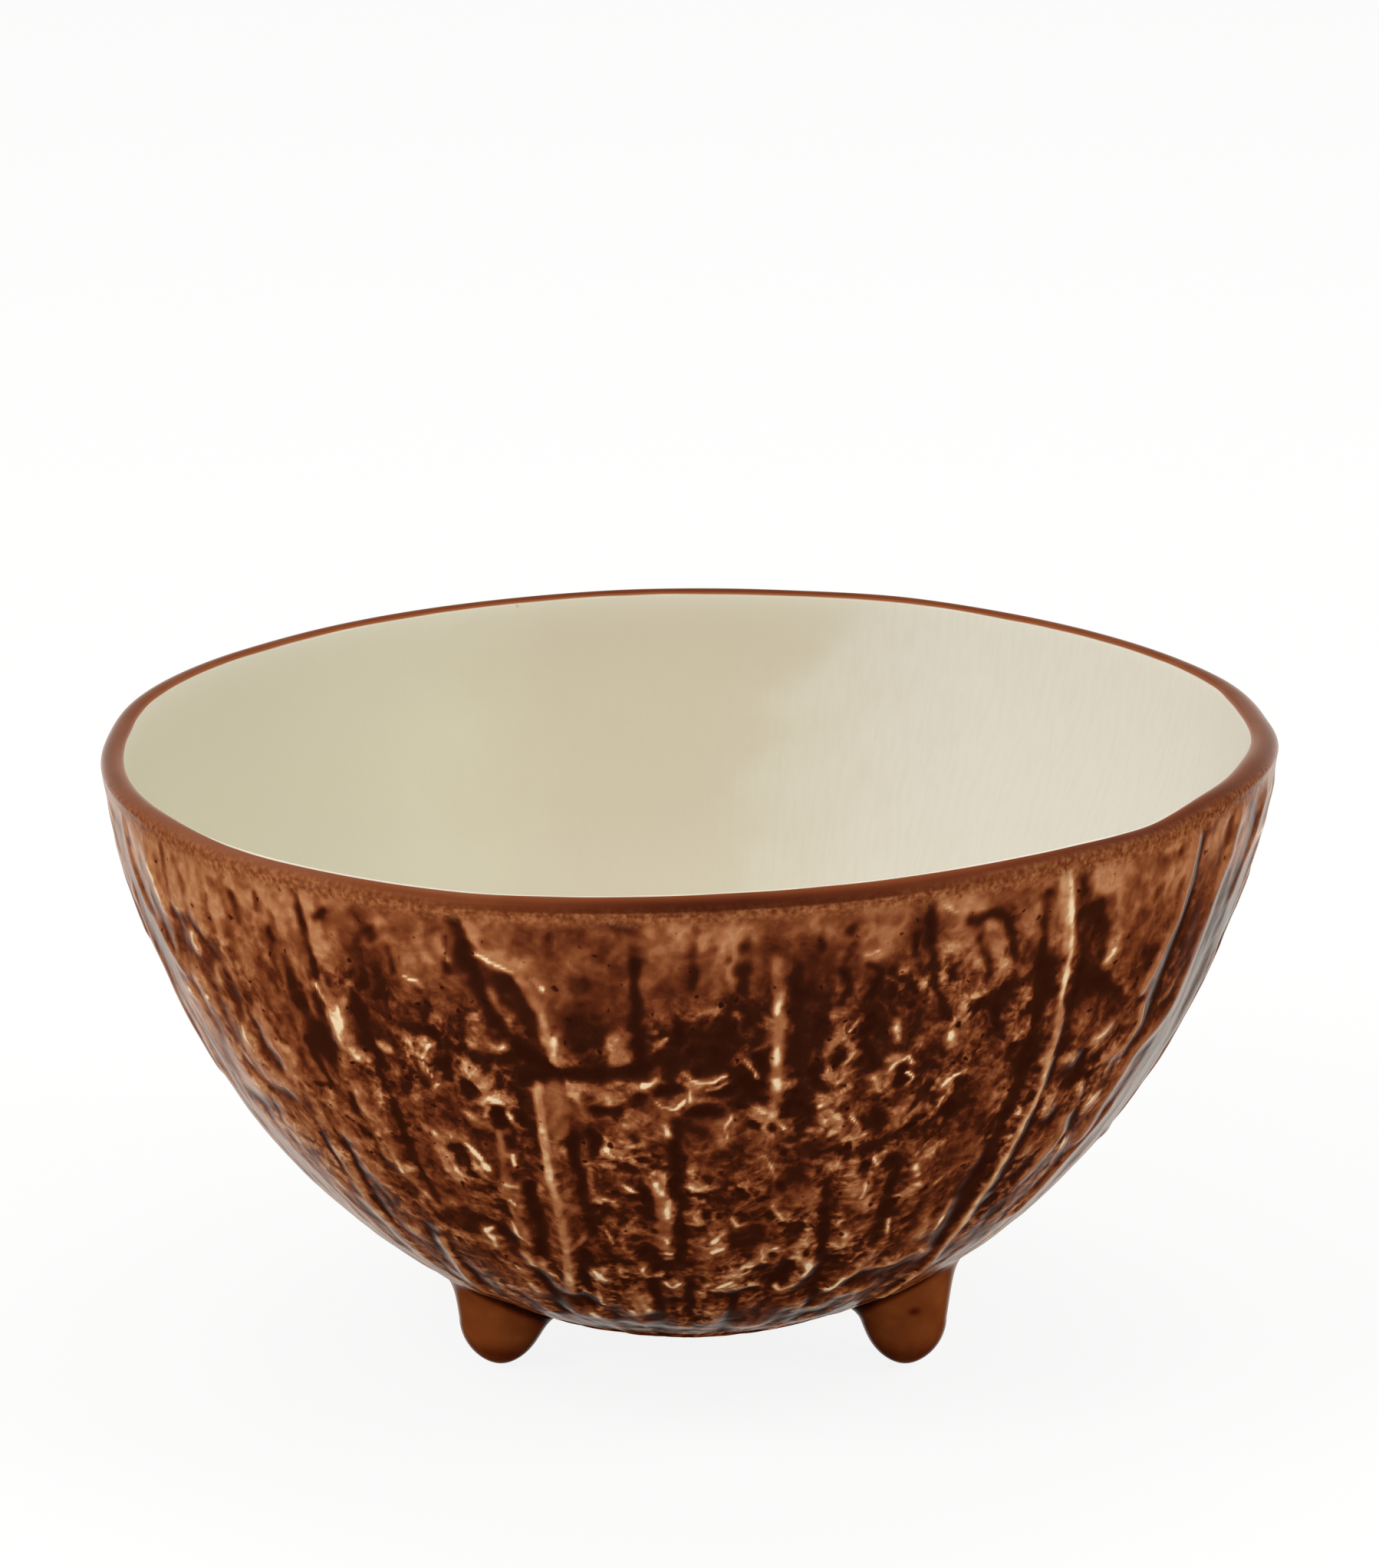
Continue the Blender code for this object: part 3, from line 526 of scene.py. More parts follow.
# Hollows where the glaze stands deep: (around, down, half width, half height, depth)
POOLS = [
    (-17, 11.4, 2.6, 1.6, 0.9), (-10, 18.5, 3.0, 3.2, 0.8), (0, 21.5, 5.0, 3.8, 0.9),
    (5, 24, 3.2, 6.0, 0.9), (11.8, 21, 3.0, 8.0, 0.9), (18.3, 19, 2.6, 6.5, 0.8),
    (22.6, 28.5, 1.6, 1.8, 0.9), (11.5, 31.5, 3.5, 1.6, 0.7), (31.5, 18.5, 3.2, 2.8, 0.8),
    (43.2, 16.5, 2.8, 5.5, 0.9), (46.5, 33.5, 3.5, 2.4, 0.8), (52, 20.5, 3.0, 4.0, 0.6),
    (-39.6, 25, 1.8, 3.0, 0.7), (-32.8, 22.5, 1.4, 3.4, 0.7), (-20, 33, 2.4, 1.8, 0.9),
    (-26, 42, 1.3, 3.2, 0.9), (-30, 55.5, 4.5, 2.0, 0.8), (-25, 59, 1.6, 3.0, 0.8),
    (30.5, 69.5, 5.0, 2.8, 1.0), (-17, 73, 2.2, 2.0, 1.0), (12.6, 64, 2.0, 4.5, 0.7),
    (-3.5, 61.5, 4.0, 2.0, 0.8), (14, 80, 5.0, 3.5, 0.7), (24, 82, 4.0, 3.0, 0.8),
    (-58, 16, 4.5, 4.0, 0.6), (31, 7.5, 1.6, 2.5, 0.6), (4.5, 16, 2.0, 3.0, 0.6), (20, 34, 1.6, 2.5, 0.7),
    (7.5, 54, 2.4, 4.0, 0.7), (29, 33, 2.2, 2.0, 0.7), (1.8, 30.8, 1.6, 1.1, 1.2),
    (15.2, 22.8, 0.9, 1.3, 1.2), (22, 27.6, 1.0, 1.5, 1.2), (10.4, 50.4, 0.7, 0.7, 1.2),
    (6.8, 32.7, 0.8, 0.8, 1.2), (8.8, 33.6, 0.7, 0.7, 1.2), (41.5, 9.5, 3.0, 2.6, 0.9),
    (44, 20, 4.0, 2.6, 0.8), (-11, 36.5, 2.2, 1.6, 0.9), (-2, 27.4, 1.8, 1.4, 1.0),
    (-5, 28.6, 1.0, 1.4, 0.9), (-18.5, 24, 4.0, 1.6, 0.8), (-20.4, 33.4, 1.0, 1.8, 1.2),
    (5.6, 27.5, 3.2, 2.2, 0.8), (-22.8, 28.6, 0.9, 1.8, 0.9), (-27.6, 28.8, 0.8, 1.2, 0.9),
    (-5.6, 59.2, 1.6, 1.6, 0.9), (-22.8, 50.8, 1.6, 1.2, 0.8), (-30.3, 7, 0.7, 1.1, 0.6),
    (-10.5, 12, 1.3, 1.6, 0.5), (5.2, 6.4, 0.7, 0.9, 0.7), (5.3, 11, 0.9, 2.6, 0.7),
    (10.3, 11.4, 0.8, 2.2, 0.7), (3.8, 8.5, 0.5, 0.5, 0.7), (15.3, 5.6, 0.5, 1.0, 0.6),
    (12.3, 6.4, 0.4, 1.4, 0.5), (-43.2, 10.5, 0.7, 1.2, 0.6), (-44.8, 17.5, 0.8, 1.8, 0.7),
    (-54, 22.5, 3.0, 1.3, 0.5), (-49.6, 22, 0.9, 1.0, 0.5), (-49, 39, 2.0, 1.4, 0.5),
    (-57, 43, 4.0, 1.8, 0.4), (-41.8, 18, 0.8, 2.8, 0.7), (-38.3, 19, 1.0, 2.8, 0.8),
    (45.5, 41.5, 1.6, 1.8, 0.7), (51, 43.6, 2.0, 1.2, 0.6), (47, 35, 3.0, 1.2, 0.6),
    (-6.6, 55.3, 0.7, 0.7, 1.0), (-3.4, 46.7, 0.4, 0.4, 1.0), (-4.7, 46.9, 0.4, 0.4, 1.0),
    (-6.2, 46.3, 0.5, 0.4, 1.0), (-2.8, 51.7, 0.5, 0.4, 1.0), (-4.7, 53.2, 0.4, 0.4, 1.0),
    (-6.2, 58.2, 1.3, 1.4, 0.9), (-11.2, 61.6, 0.5, 0.5, 1.0), (-10, 61.6, 0.5, 0.4, 1.0),
    (-9, 74.4, 0.5, 0.5, 1.0), (-1.8, 72.8, 1.8, 0.8, 0.8), (1.9, 49.9, 0.5, 0.5, 1.0),
    (1.9, 52.3, 0.6, 0.5, 1.0), (3.8, 50.1, 0.4, 0.4, 1.0), (4.6, 55.8, 0.7, 0.4, 1.0),
    (11.9, 52.3, 0.4, 0.4, 1.0), (19, 54.8, 0.4, 0.4, 1.0), (20.3, 59.8, 0.5, 0.5, 0.9),
    (23.1, 52.8, 1.0, 0.7, 0.9), (11.2, 59.5, 0.5, 0.8, 1.0), (8.1, 60.2, 0.6, 0.5, 1.0),
    (14.3, 61.6, 0.5, 0.4, 0.9), (9.4, 69.2, 1.2, 0.6, 0.9), (18.2, 51.4, 0.3, 0.4, 0.9),
    (14.6, 67.6, 0.5, 0.4, 0.9), (-9.9, 54.7, 0.4, 0.5, 1.0), (-25.4, 65.2, 0.4, 0.8, 0.9),
    (-41.6, 18.5, 1.3, 4.0, 1.0), (-40.2, 26, 2.0, 3.2, 1.0), (-50.5, 31, 2.2, 2.4, 0.7),
    (-51, 38, 3.2, 1.2, 0.8), (-59, 42.5, 4.0, 1.5, 0.7), (-55.2, 17.5, 1.2, 2.2, 0.6),
    (-50, 26.4, 0.8, 0.9, 0.6),
]
# Lumps that stand proud, glazed thin: (around, down, half width, half height, height)
LUMPS = [
    (-6.8, 21, 1.3, 1.8, 1.1), (-13.2, 20, 0.9, 1.8, 0.4), (-31.8, 24.4, 1.2, 0.9, 1.1),
    (-27, 23.5, 0.8, 1.8, 0.9), (-27.2, 27.2, 0.6, 1.4, 0.8), (-21, 28.4, 0.9, 1.6, 0.9),
    (-20, 30.4, 1.4, 0.7, 0.9), (-19.4, 32.8, 0.7, 0.9, 1.1), (-28.2, 41, 0.9, 2.6, 0.8),
    (-27, 44.8, 1.4, 1.4, 0.8), (-24.4, 41, 0.8, 2.2, 0.8), (-8, 28.8, 1.2, 1.3, 0.6),
    (-4.6, 33, 2.2, 2.2, 0.6), (1.8, 26.2, 2.4, 0.7, 1.1), (2.6, 29.6, 2.2, 1.4, 0.7),
    (3.8, 35, 1.4, 1.6, 0.6), (8, 31, 1.7, 0.9, 0.9), (14.4, 20.6, 1.3, 1.7, 1.0),
    (15, 26, 1.5, 0.9, 0.9), (20.6, 20.6, 0.5, 1.4, 0.9), (21.2, 25, 1.2, 0.7, 1.0),
    (22.8, 28.2, 0.7, 1.1, 0.9), (26.6, 22, 0.8, 2.0, 0.8), (28, 29.4, 1.0, 0.8, 0.8),
    (23.2, 33.6, 1.2, 1.8, 0.8), (18.4, 36, 0.9, 1.1, 0.8), (27.4, 42, 1.1, 3.2, 0.7),
    (21, 46.4, 0.9, 1.8, 0.7), (1.4, 44.6, 1.1, 0.7, 0.8), (-8.2, 38, 1.0, 0.9, 0.8),
    (-57, 16.4, 1.0, 1.4, 1.0), (-7.5, 73, 1.6, 3.4, 0.6), (-17.4, 79, 1.0, 1.8, 0.6),
    (-26.6, 57.4, 1.3, 1.8, 0.7), (11, 50, 0.6, 1.6, 0.8), (4, 57, 1.3, 1.6, 0.7),
    (-9.5, 7, 4.5, 3.5, 0.4), (-18.6, 15, 1.2, 1.6, 0.5), (-17, 19, 1.0, 2.0, 0.5),
    (3, 5.5, 3.0, 2.0, 0.3),
]

# How noise draws the marks off their paths, in mm, and makes their widths and strengths uneven
BROAD_WARP = 0.8
BROAD_WARP_GRAIN = 9.0
FINE_WARP = 0.9
FINE_WARP_GRAIN = 3.2
UNEVEN = 0.4
UNEVEN_GRAIN = 5.0
FADING = 0.5
FADING_GRAIN = 6.0
BROKEN = 0.6
BROKEN_GRAIN = 1.5
BROKEN_RANGE = (0.35, 1.3)
NARROWEST = 8.0  # nearer the pole than this, a mark is no longer spread over more degrees

# Sections of the marks: shares of the warp, powers of the flanks, and lengths in half widths or mm
FLANK_REACH = 4.0  # half widths that a ridge or groove reaches from its path, and mm past them
FLANK_SPARE = 1.0
RIDGE_WARP = 0.35
RIDGE_POWER = 4
GROOVE_WARP = 0.5
GROOVE_POWER = 3
GROOVE_SURE = 1.5  # how surely a groove cuts through the crust
GLINT_REACH = 5.0
GLINT_SPARE = 2.0
GLINT_WARP = 0.5
GLINT_HEIGHT = 0.35
GLINT_BARE = 1.12
GLINT_CORE = 1.2
GLINT_SKIRT = 2.4
GLINT_SKIRT_SHARE = 0.5
GLINT_LUMP = 0.45
GLINT_LUMP_WIDTH = 1.8
GLINT_LUMP_EDGE = 0.5
PLATE_REACH = 14.0
PLATE_STEP = 0.4
PLATE_RUN = 4.0
PATCH_REACH = 2.2
PATCH_CORE = 0.4
PATCH_EDGE = 1.7

# Marks of the same kinds all over the sides and the back, from a seed
BEHIND_FROM = 74.0
BEHIND_TO = 286.0
BEHIND_TOP = 4.0
BEHIND_BOTTOM = 84.0
BEHIND_PATH_END = 96.0
BEHIND_SEED = 11
RIDGES_BEHIND = 22
GROOVES_BEHIND = 34
EDGES_BEHIND = 9
POOLS_BEHIND = 46
LUMPS_BEHIND = 70
GLINTS_BEHIND = 150
EDGE_HEIGHT_BEHIND = 0.8
EDGE_STEPS_BEHIND = ((0, 0), (1, 6), (4, 8), (5, 16))  # degrees aside and mm down


def marks_behind():
    """Marks like those of the front, with values in the same order, where none are listed."""
    chance = np.random.default_rng(BEHIND_SEED)
    some = chance.uniform

    def anywhere():
        return some(BEHIND_FROM, BEHIND_TO), some(BEHIND_TOP, BEHIND_BOTTOM)

    def wandering(lengths):
        length = chance.choice(lengths)
        around, down = anywhere()
        path = [(around, down)]
        while length > 0 and down < BEHIND_PATH_END:
            step = some(5, 9)
            around += chance.normal(0, 0.9)
            down += step
            length -= step
            path.append((around, down))
        return path

    def stepped():
        around, down = anywhere()
        side = chance.choice([-1, 1])
        return [(around + side * across, down + along) for across, along in EDGE_STEPS_BEHIND]

    def stroke():
        around, down = anywhere()
        end = (around + chance.normal(0, 1.2), down + chance.normal(0, 1.4))
        return some(0.28, 0.55), some(0.6, 1.0), [(around, down), end]

    ridges = [(some(0.5, 0.9), some(0.5, 0.8), some(0.2, 0.9), wandering([8, 12, 20, 50]))
              for _ in range(RIDGES_BEHIND)]
    grooves = [(some(0.5, 1.1), some(0.6, 1.0), wandering([8, 14, 22, 40])) for _ in range(GROOVES_BEHIND)]
    edges = [(EDGE_HEIGHT_BEHIND, stepped()) for _ in range(EDGES_BEHIND)]
    pools = [(*anywhere(), some(1.4, 4.5), some(1.8, 6), some(0.6, 0.9)) for _ in range(POOLS_BEHIND)]
    lumps = [(*anywhere(), some(0.6, 1.8), some(0.8, 2.6), some(0.5, 1.0)) for _ in range(LUMPS_BEHIND)]
    glints = [stroke() for _ in range(GLINTS_BEHIND)]
    return ridges, glints, grooves, edges, pools, lumps


def window(around_low, around_high, down_low, down_high, reach):
    """Rows and columns of the grid within reach of a mark, and the degrees round of those columns."""
    rows = np.nonzero((DOWN > down_low - reach) & (DOWN < down_high + reach))[0]
    spare = math.degrees(reach / max(GRID_RADIUS[rows, 0].min(), NARROWEST))
    first = math.floor((around_low - spare + 180) / 360 * COLUMNS)
    last = math.ceil((around_high + spare + 180) / 360 * COLUMNS)
    columns = np.arange(first, last + 1)
    around = -180 + 360 * columns / COLUMNS
    return np.ix_(rows, columns % COLUMNS), np.broadcast_to(around, (len(rows), len(columns)))


class Husk:
    """Marks in the clay of the outside: how high it lies, from about -1 to 1, and its clean ridges in mm."""

    def __init__(self):
        self.lie = np.zeros(GRID_DOWN.shape)
        self.ridge = np.zeros(GRID_DOWN.shape)
        self.ridge_share = np.zeros(GRID_DOWN.shape)
        self.bare = np.zeros(GRID_DOWN.shape)
        self.rough = np.ones(GRID_DOWN.shape)
        self.warp_around = np.degrees(self.wander(seed=1) / np.maximum(GRID_RADIUS, NARROWEST))
        self.warp_down = self.wander(seed=5)
        self.uneven = 1 + UNEVEN * smooth_noise(ON_NUT / UNEVEN_GRAIN, seed=9)
        self.fading = 1 + FADING * smooth_noise(ON_NUT / FADING_GRAIN, seed=13)
        self.broken = np.clip(1.0 + BROKEN * smooth_noise(ON_NUT / BROKEN_GRAIN, seed=15), *BROKEN_RANGE)

    @staticmethod
    def wander(seed):
        """How far noise draws each point off its place, in mm."""
        broad = smooth_noise(ON_NUT / BROAD_WARP_GRAIN, seed)
        fine = layered_noise(ON_NUT / FINE_WARP_GRAIN, layers=3, seed=seed + 1)
        return BROAD_WARP * broad + FINE_WARP * fine

    def path_distance(self, path, reach, warp):
        """Distance to a path over its window, and the same with its sign: positive on the path's left."""
        arounds, downs = zip(*path)
        place, around = window(min(arounds), max(arounds), min(downs), max(downs), reach)
        around = around + warp * self.warp_around[place]
        down = GRID_DOWN[place] + warp * self.warp_down[place]
        radius = GRID_RADIUS[place]
        nearest = np.full(down.shape, np.inf)
        signed = np.zeros(down.shape)
        for (around_a, down_a), (around_b, down_b) in zip(path, path[1:]):
            across = math.radians(around_b - around_a) * radius
            along = down_b - down_a
            to_across = np.radians(around - around_a) * radius
            to_along = down - down_a
            share = np.clip((to_across * across + to_along * along) / (across**2 + along**2), 0, 1)
            distance = np.hypot(to_across - share * across, to_along - share * along)
            left = np.sign(to_across * along - to_along * across)
            closer = distance < nearest
            nearest = np.where(closer, distance, nearest)
            signed = np.where(closer, distance * left, signed)
        return place, nearest, signed

    def raise_ridge(self, half_width, height, bare, path):
        place, distance, _ = self.path_distance(path, FLANK_REACH * half_width + FLANK_SPARE, RIDGE_WARP)
        section = 1 / (1 + (distance / (half_width * self.uneven[place])) ** RIDGE_POWER)
        taller = section > self.ridge_share[place]
        self.ridge[place] = np.where(taller, height, self.ridge[place])
        self.bare[place] = np.maximum(self.bare[place], bare * section)
        self.ridge_share[place] = np.maximum(self.ridge_share[place], section)

    def add_glint(self, half_width, bare, path):
        """A pale stroke of uneven strength on a small lump."""
        place, distance, _ = self.path_distance(path, GLINT_REACH * half_width + GLINT_SPARE, GLINT_WARP)
        across = distance / (half_width * self.uneven[place])
        section = np.maximum(hill(across, 0, GLINT_CORE), GLINT_SKIRT_SHARE * hill(across, 0, GLINT_SKIRT))
        self.ridge[place] = np.maximum(self.ridge[place], GLINT_HEIGHT * section)
        self.bare[place] = np.maximum(self.bare[place], GLINT_BARE * bare * self.broken[place] * section)
        self.ridge_share[place] = np.maximum(self.ridge_share[place], section)
        self.lie[place] += GLINT_LUMP * hill(distance, 0, GLINT_LUMP_WIDTH * half_width + GLINT_LUMP_EDGE)

    def cut_groove(self, half_width, depth, path):
        place, distance, _ = self.path_distance(path, FLANK_REACH * half_width + FLANK_SPARE, GROOVE_WARP)
        section = self.fading[place] / (1 + (distance / (half_width * self.uneven[place])) ** GROOVE_POWER)
        self.lie[place] -= GROOVE_SURE * depth * section

    def step_plate(self, height, path):
        place, _, signed = self.path_distance(path, PLATE_REACH, GROOVE_WARP)
        self.lie[place] += height * np.tanh(signed / PLATE_STEP) * np.exp(-np.abs(signed) / PLATE_RUN)

    def patch(self, around, down, half_width, half_height):
        """A patch's window and its share there. Its outline is drawn by the warp."""
        place, columns = window(around, around, down, down, PATCH_REACH * max(half_width, half_height))
        across = np.radians(columns + self.warp_around[place] - around) * GRID_RADIUS[place] / half_width
        along = (GRID_DOWN[place] + self.warp_down[place] - down) / half_height
        return place, 1 - smooth_step(PATCH_CORE, PATCH_EDGE, np.hypot(across, along))

    def press_patch(self, around, down, half_width, half_height, height):
        """A pool if its height is negative, or a lump."""
        place, share = self.patch(around, down, half_width, half_height)
        self.lie[place] += height * share

    def smooth_area(self, around, down, half_width, half_height, smoothness):
        place, share = self.patch(around, down, half_width, half_height)
        self.rough[place] *= 1 - smoothness * share


def mark_husk():
    husk = Husk()
    ridges, glints, grooves, edges, pools, lumps = marks_behind()
    for ridge in RIDGES + ridges:
        husk.raise_ridge(*ridge)
    for glint in GLINTS + glints:
        husk.add_glint(*glint)
    for groove in GROOVES + grooves:
        husk.cut_groove(*groove)
    for edge in PLATE_EDGES + edges:
        husk.step_plate(*edge)
    for *patch, depth in POOLS + pools:
        husk.press_patch(*patch, -depth)
    for lump in LUMPS + lumps:
        husk.press_patch(*lump)
    for area in SMOOTH_AREAS:
        husk.smooth_area(*area)
    return husk


def foot_places():
    """Name and place of each foot on the foot circle, from the back one round by the left."""
    for i, name in enumerate(FOOT_NAMES):
        angle = math.pi / 2 + math.tau * i / len(FOOT_NAMES)
        x = FOOT_CIRCLE_CENTRE[0] + FOOT_CIRCLE * math.cos(angle)
        y = FOOT_CIRCLE_CENTRE[1] + FOOT_CIRCLE * math.sin(angle)
        yield name, x, y


def nut_height(radius):
    return NUT_CENTRE - NUT_HALF_HEIGHT * np.sqrt(1 - (radius / NUT_RADIUS) ** 2)


def foot_radius(height, below_joint):
    """A foot's radius at a height: a rounded tip, a slight taper, and a flare up to the joint."""
    share = np.clip(height / FOOT_TIP_HEIGHT, 0, 1)
    tip = FOOT_WAIST * (1 - (1 - share) ** 2) ** FOOT_TIP_POWER
    taper = FOOT_TAPER * np.maximum(height - FOOT_TIP_HEIGHT, 0)
    return tip + taper + FOOT_FLARE * np.exp(-below_joint / FOOT_FLARE_REACH)


def foot_joint(x, y, angle):
    """Radius and height of the joint between a foot and the shell, at angles round the foot."""
    height = np.full(np.shape(angle), nut_height(math.hypot(x, y)))
    for _ in range(JOINT_ROUNDS):
        radius = foot_radius(height, 0.0)
        height = nut_height(np.hypot(x + radius * np.cos(angle), y + radius * np.sin(angle)))
    return radius, height


def past_feet():
    """How far each point of the outside lies outside the nearest foot's joint, seen from above."""
    angle = np.linspace(-math.pi, math.pi, JOINT_STEPS)
    gaps = []
    for _, x, y in foot_places():
        across = ON_NUT[..., 0] - x
        along = ON_NUT[..., 1] - y
        joint = np.interp(np.arctan2(along, across), angle, foot_joint(x, y, angle)[0])
        gaps.append(np.hypot(across, along) - joint)
    return np.minimum.reduce(gaps)


# The glaze over the clay
BROAD_SETTLING = 1.6  # mm over which the glaze levels the clay, and the finer share of it
FINE_SETTLING = 0.45
FLATTER_BOTTOM = 0.5  # mm that the bottom lies further in than the nut
DEEPEST_HOLLOW = -1.3
HIGHEST_CREST = 0.8
THINNEST_GLAZE = 0.17  # away from bare crests
HOLLOW_REACH = 1.0  # mm of clay about a place that make it a hollow, or a basin
BASIN_REACH = 3.0
FINE_ROWS = 0.5  # rows of the grid over which the finest clay is levelled


def husk_zones():
    """Shares of the outside that differ in texture and glaze, and one of painted shade, in degrees around and
    mm down.
    """
    off_front = np.abs(GRID_AROUND)
    ragged = 5 * layered_noise(ON_FIBRE / (6, 6, 26), layers=3, seed=20)
    return SimpleNamespace(
        shoulder=smooth_step(5, 18, GRID_DOWN + ragged),
        collar=smooth_step(8, 3, GRID_DOWN),
        middle=hill(GRID_DOWN, 20, 7),
        lower=smooth_step(16, 26, GRID_DOWN),
        low=smooth_step(60, 84, GRID_DOWN),
        patchy=0.45 + 0.55 * smooth_step(-0.35, 0.35, layered_noise(ON_NUT / 9, layers=2, seed=21)),
        soft_left=hill(GRID_AROUND, -58, 20),
        soft_right=hill(GRID_AROUND, 56, 14),
        flank=smooth_step(54, 64, off_front) * smooth_step(98, 86, off_front),
        # shaded marks the right flank, where the glaze is darkened as painted shade
        shaded=hill(GRID_AROUND, 66, 9) * smooth_step(8, 16, GRID_DOWN) * smooth_step(62, 46, GRID_DOWN),
        past_foot=past_feet(),
    )


def clay_grain():
    """The clay's patches, flakes, crumbs, streaks, mottles and spots, drawn by a swirl. Grains are in mm."""
    swirl = np.stack([layered_noise(ON_NUT / 5, layers=3, seed=seed) for seed in (60, 64, 68)], axis=-1)
    drawn = (ON_NUT + 2.2 * swirl) / (1, 1, 1.3)
    return SimpleNamespace(
        swirl=swirl,
        patches=even(layered_noise((ON_FIBRE + 3 * swirl) / (8, 8, 14), layers=3, seed=22)),
        large_flakes=even(flakes(drawn / 3.6, seed=70)),
        small_flakes=even(flakes((drawn + 0.5 * swirl) / 1.9, seed=80)),
        crumbs=even(layered_noise(drawn / 2.4, layers=3, seed=26, keep=0.65)),
        streaks=even(layered_noise((ON_FIBRE + swirl) / (3.4, 3.4, 20), layers=3, seed=34, keep=0.55)),
        mottles=even(layered_noise((ON_FIBRE + 2.5 * swirl) / (4.5, 4.5, 8), layers=3, seed=44)),
        spots=even(layered_noise((ON_NUT + 1.5 * swirl) / 2.6, layers=2, seed=48)),
    )


def crust_share(husk, zones):
    """Where the texture is strong: below the smooth shoulder, less on the soft sides and by the feet."""
    crust = zones.shoulder * (1 - 0.3 * zones.low) * zones.patchy
    crust = crust * (1 - 0.5 * zones.soft_left) * (1 - 0.3 * zones.soft_right)
    crust = crust * smooth_step(0.5, 4, zones.past_foot) * (1 - 0.65 * zones.flank)
    return np.clip(crust * husk.rough, 0, 1)


def clay_under_glaze(husk, zones, grain, crust):
    """How high the clay lies: the marks, the crust's texture and streaks, and clean ridges through both."""
    marks = husk.lie / (1 + 0.35 * np.abs(husk.lie))
    crumbling = crust * (1 - 0.6 * smooth_step(0.3, 1.2, -husk.lie))
    texture = 0.22 * grain.patches + 0.24 * grain.large_flakes
    texture = crumbling * (texture + 0.18 * grain.small_flakes + 0.14 * grain.crumbs)
    texture = texture + (0.08 + 0.05 * zones.low + 0.12 * zones.soft_left) * grain.streaks
    clay = 0.85 * marks + texture
    return clay * (1 - husk.ridge_share) + (husk.ridge + 0.08 * grain.crumbs) * husk.ridge_share


def glazed_surface(husk, zones, grain, clay):
    """Relief in mm: the glaze settles smooth over clay and swells, and fades at band, feet and bottom."""
    fade = smooth_step(BAND_DOWN - 0.3, BAND_DOWN + 2.5, GRID_DOWN)
    fade = fade * (1 - 0.7 * smooth_step(80, 104, GRID_DOWN))
    fade = fade * (0.1 + 0.9 * smooth_step(0, 3, zones.past_foot))
    swell = 0.22 * smooth_noise(ON_NUT / 24, seed=40) + 0.14 * smooth_noise(ON_NUT / 11, seed=41)
    swell = swell + 0.3 * zones.flank * smooth_noise(ON_FIBRE / (6, 6, 40), seed=42)
    swell = swell + 0.12 * zones.flank * smooth_noise((ON_FIBRE + grain.swirl) / (2.6, 2.6, 24), seed=43)
    surface = 0.42 * blurred(clay, BROAD_SETTLING / ROW_MM) + 0.16 * blurred(clay, FINE_SETTLING / ROW_MM)
    surface = surface + 0.45 * blurred(husk.ridge * husk.ridge_share, FINE_SETTLING / ROW_MM)
    surface = (surface + swell) * fade - FLATTER_BOTTOM * smooth_step(80, 90, GRID_DOWN)
    return np.clip(surface, DEEPEST_HOLLOW, HIGHEST_CREST)


def glaze_depth_with_painted_shade(husk, zones, grain, clay):
    """Thin on what stands proud, deep in hollows and round the feet, nearly bare on crests; painted shade by
    feet and right.
    """
    usual = 0.44 + 0.09 * zones.shoulder + 0.06 * zones.middle - 0.04 * zones.low
    # The soft left is glazed thinner and lighter; part of that lift is painted light against the shade there
    usual = usual - 0.22 * zones.soft_left - 0.12 * zones.soft_right - 0.07 * zones.collar
    # zones.shaded darkens the right flank as painted shade
    usual = usual + 0.18 * zones.shaded + 0.02 * zones.lower * (1 - zones.soft_left)
    blotches = 0.10 * grain.mottles + 0.05 * grain.spots
    usual = usual + blotches * (1 - 0.5 * zones.shoulder) * (1 - 0.4 * zones.soft_left)
    fine = blurred(clay, FINE_ROWS)
    hollow = blurred(clay, HOLLOW_REACH / ROW_MM) - fine
    basin = blurred(clay, BASIN_REACH / ROW_MM) - fine
    depth = usual - 0.20 * fine + 0.36 * hollow + 0.28 * basin
    depth = np.clip(depth, THINNEST_GLAZE, 1 - 0.4 * zones.soft_left)
    crest = 0.36 - 0.34 * husk.bare * (0.95 + 0.15 * grain.crumbs) + 0.05 * grain.streaks
    shown = smooth_step(0.2, 0.9, husk.ridge_share) * (0.35 + 0.65 * np.clip(husk.bare, 0, 1))
    depth = depth * (1 - shown) + crest * shown
    # Deep round each foot's joint where the glaze pooled, with painted shade in the crease, and a lighter
    # ring just past it
    return depth + 0.6 * hill(zones.past_foot, 0.3, 0.8) - 0.16 * hill(zones.past_foot, 2.1, 0.6)


def make_relief():
    """Returns the glazed surface in mm proud of the nut, the glaze's depth with painted shade in it, and the
    crust's share.
    """
    husk = mark_husk()
    zones = husk_zones()
    grain = clay_grain()
    crust = crust_share(husk, zones)
    clay = clay_under_glaze(husk, zones, grain, crust)
    surface = glazed_surface(husk, zones, grain, clay)
    depth = glaze_depth_with_painted_shade(husk, zones, grain, clay)
    return surface, depth, crust * (1 - husk.ridge_share)


# Meshes from rings of points
def build(name, points, quads, triangles=()):
    """A mesh object from points in mm, shaded smooth."""
    mesh = bpy.data.meshes.new(name)
    faces = [tuple(quad) for quad in quads.tolist()] + [tuple(face) for face in triangles]
    mesh.from_pydata((points * METRES).tolist(), [], faces)
    mesh.shade_smooth()
    mesh.set_sharp_from_angle(angle=CORNER)
    mesh.update()
    obj = bpy.data.objects.new(name, mesh)
    bpy.context.scene.collection.objects.link(obj)
    return obj


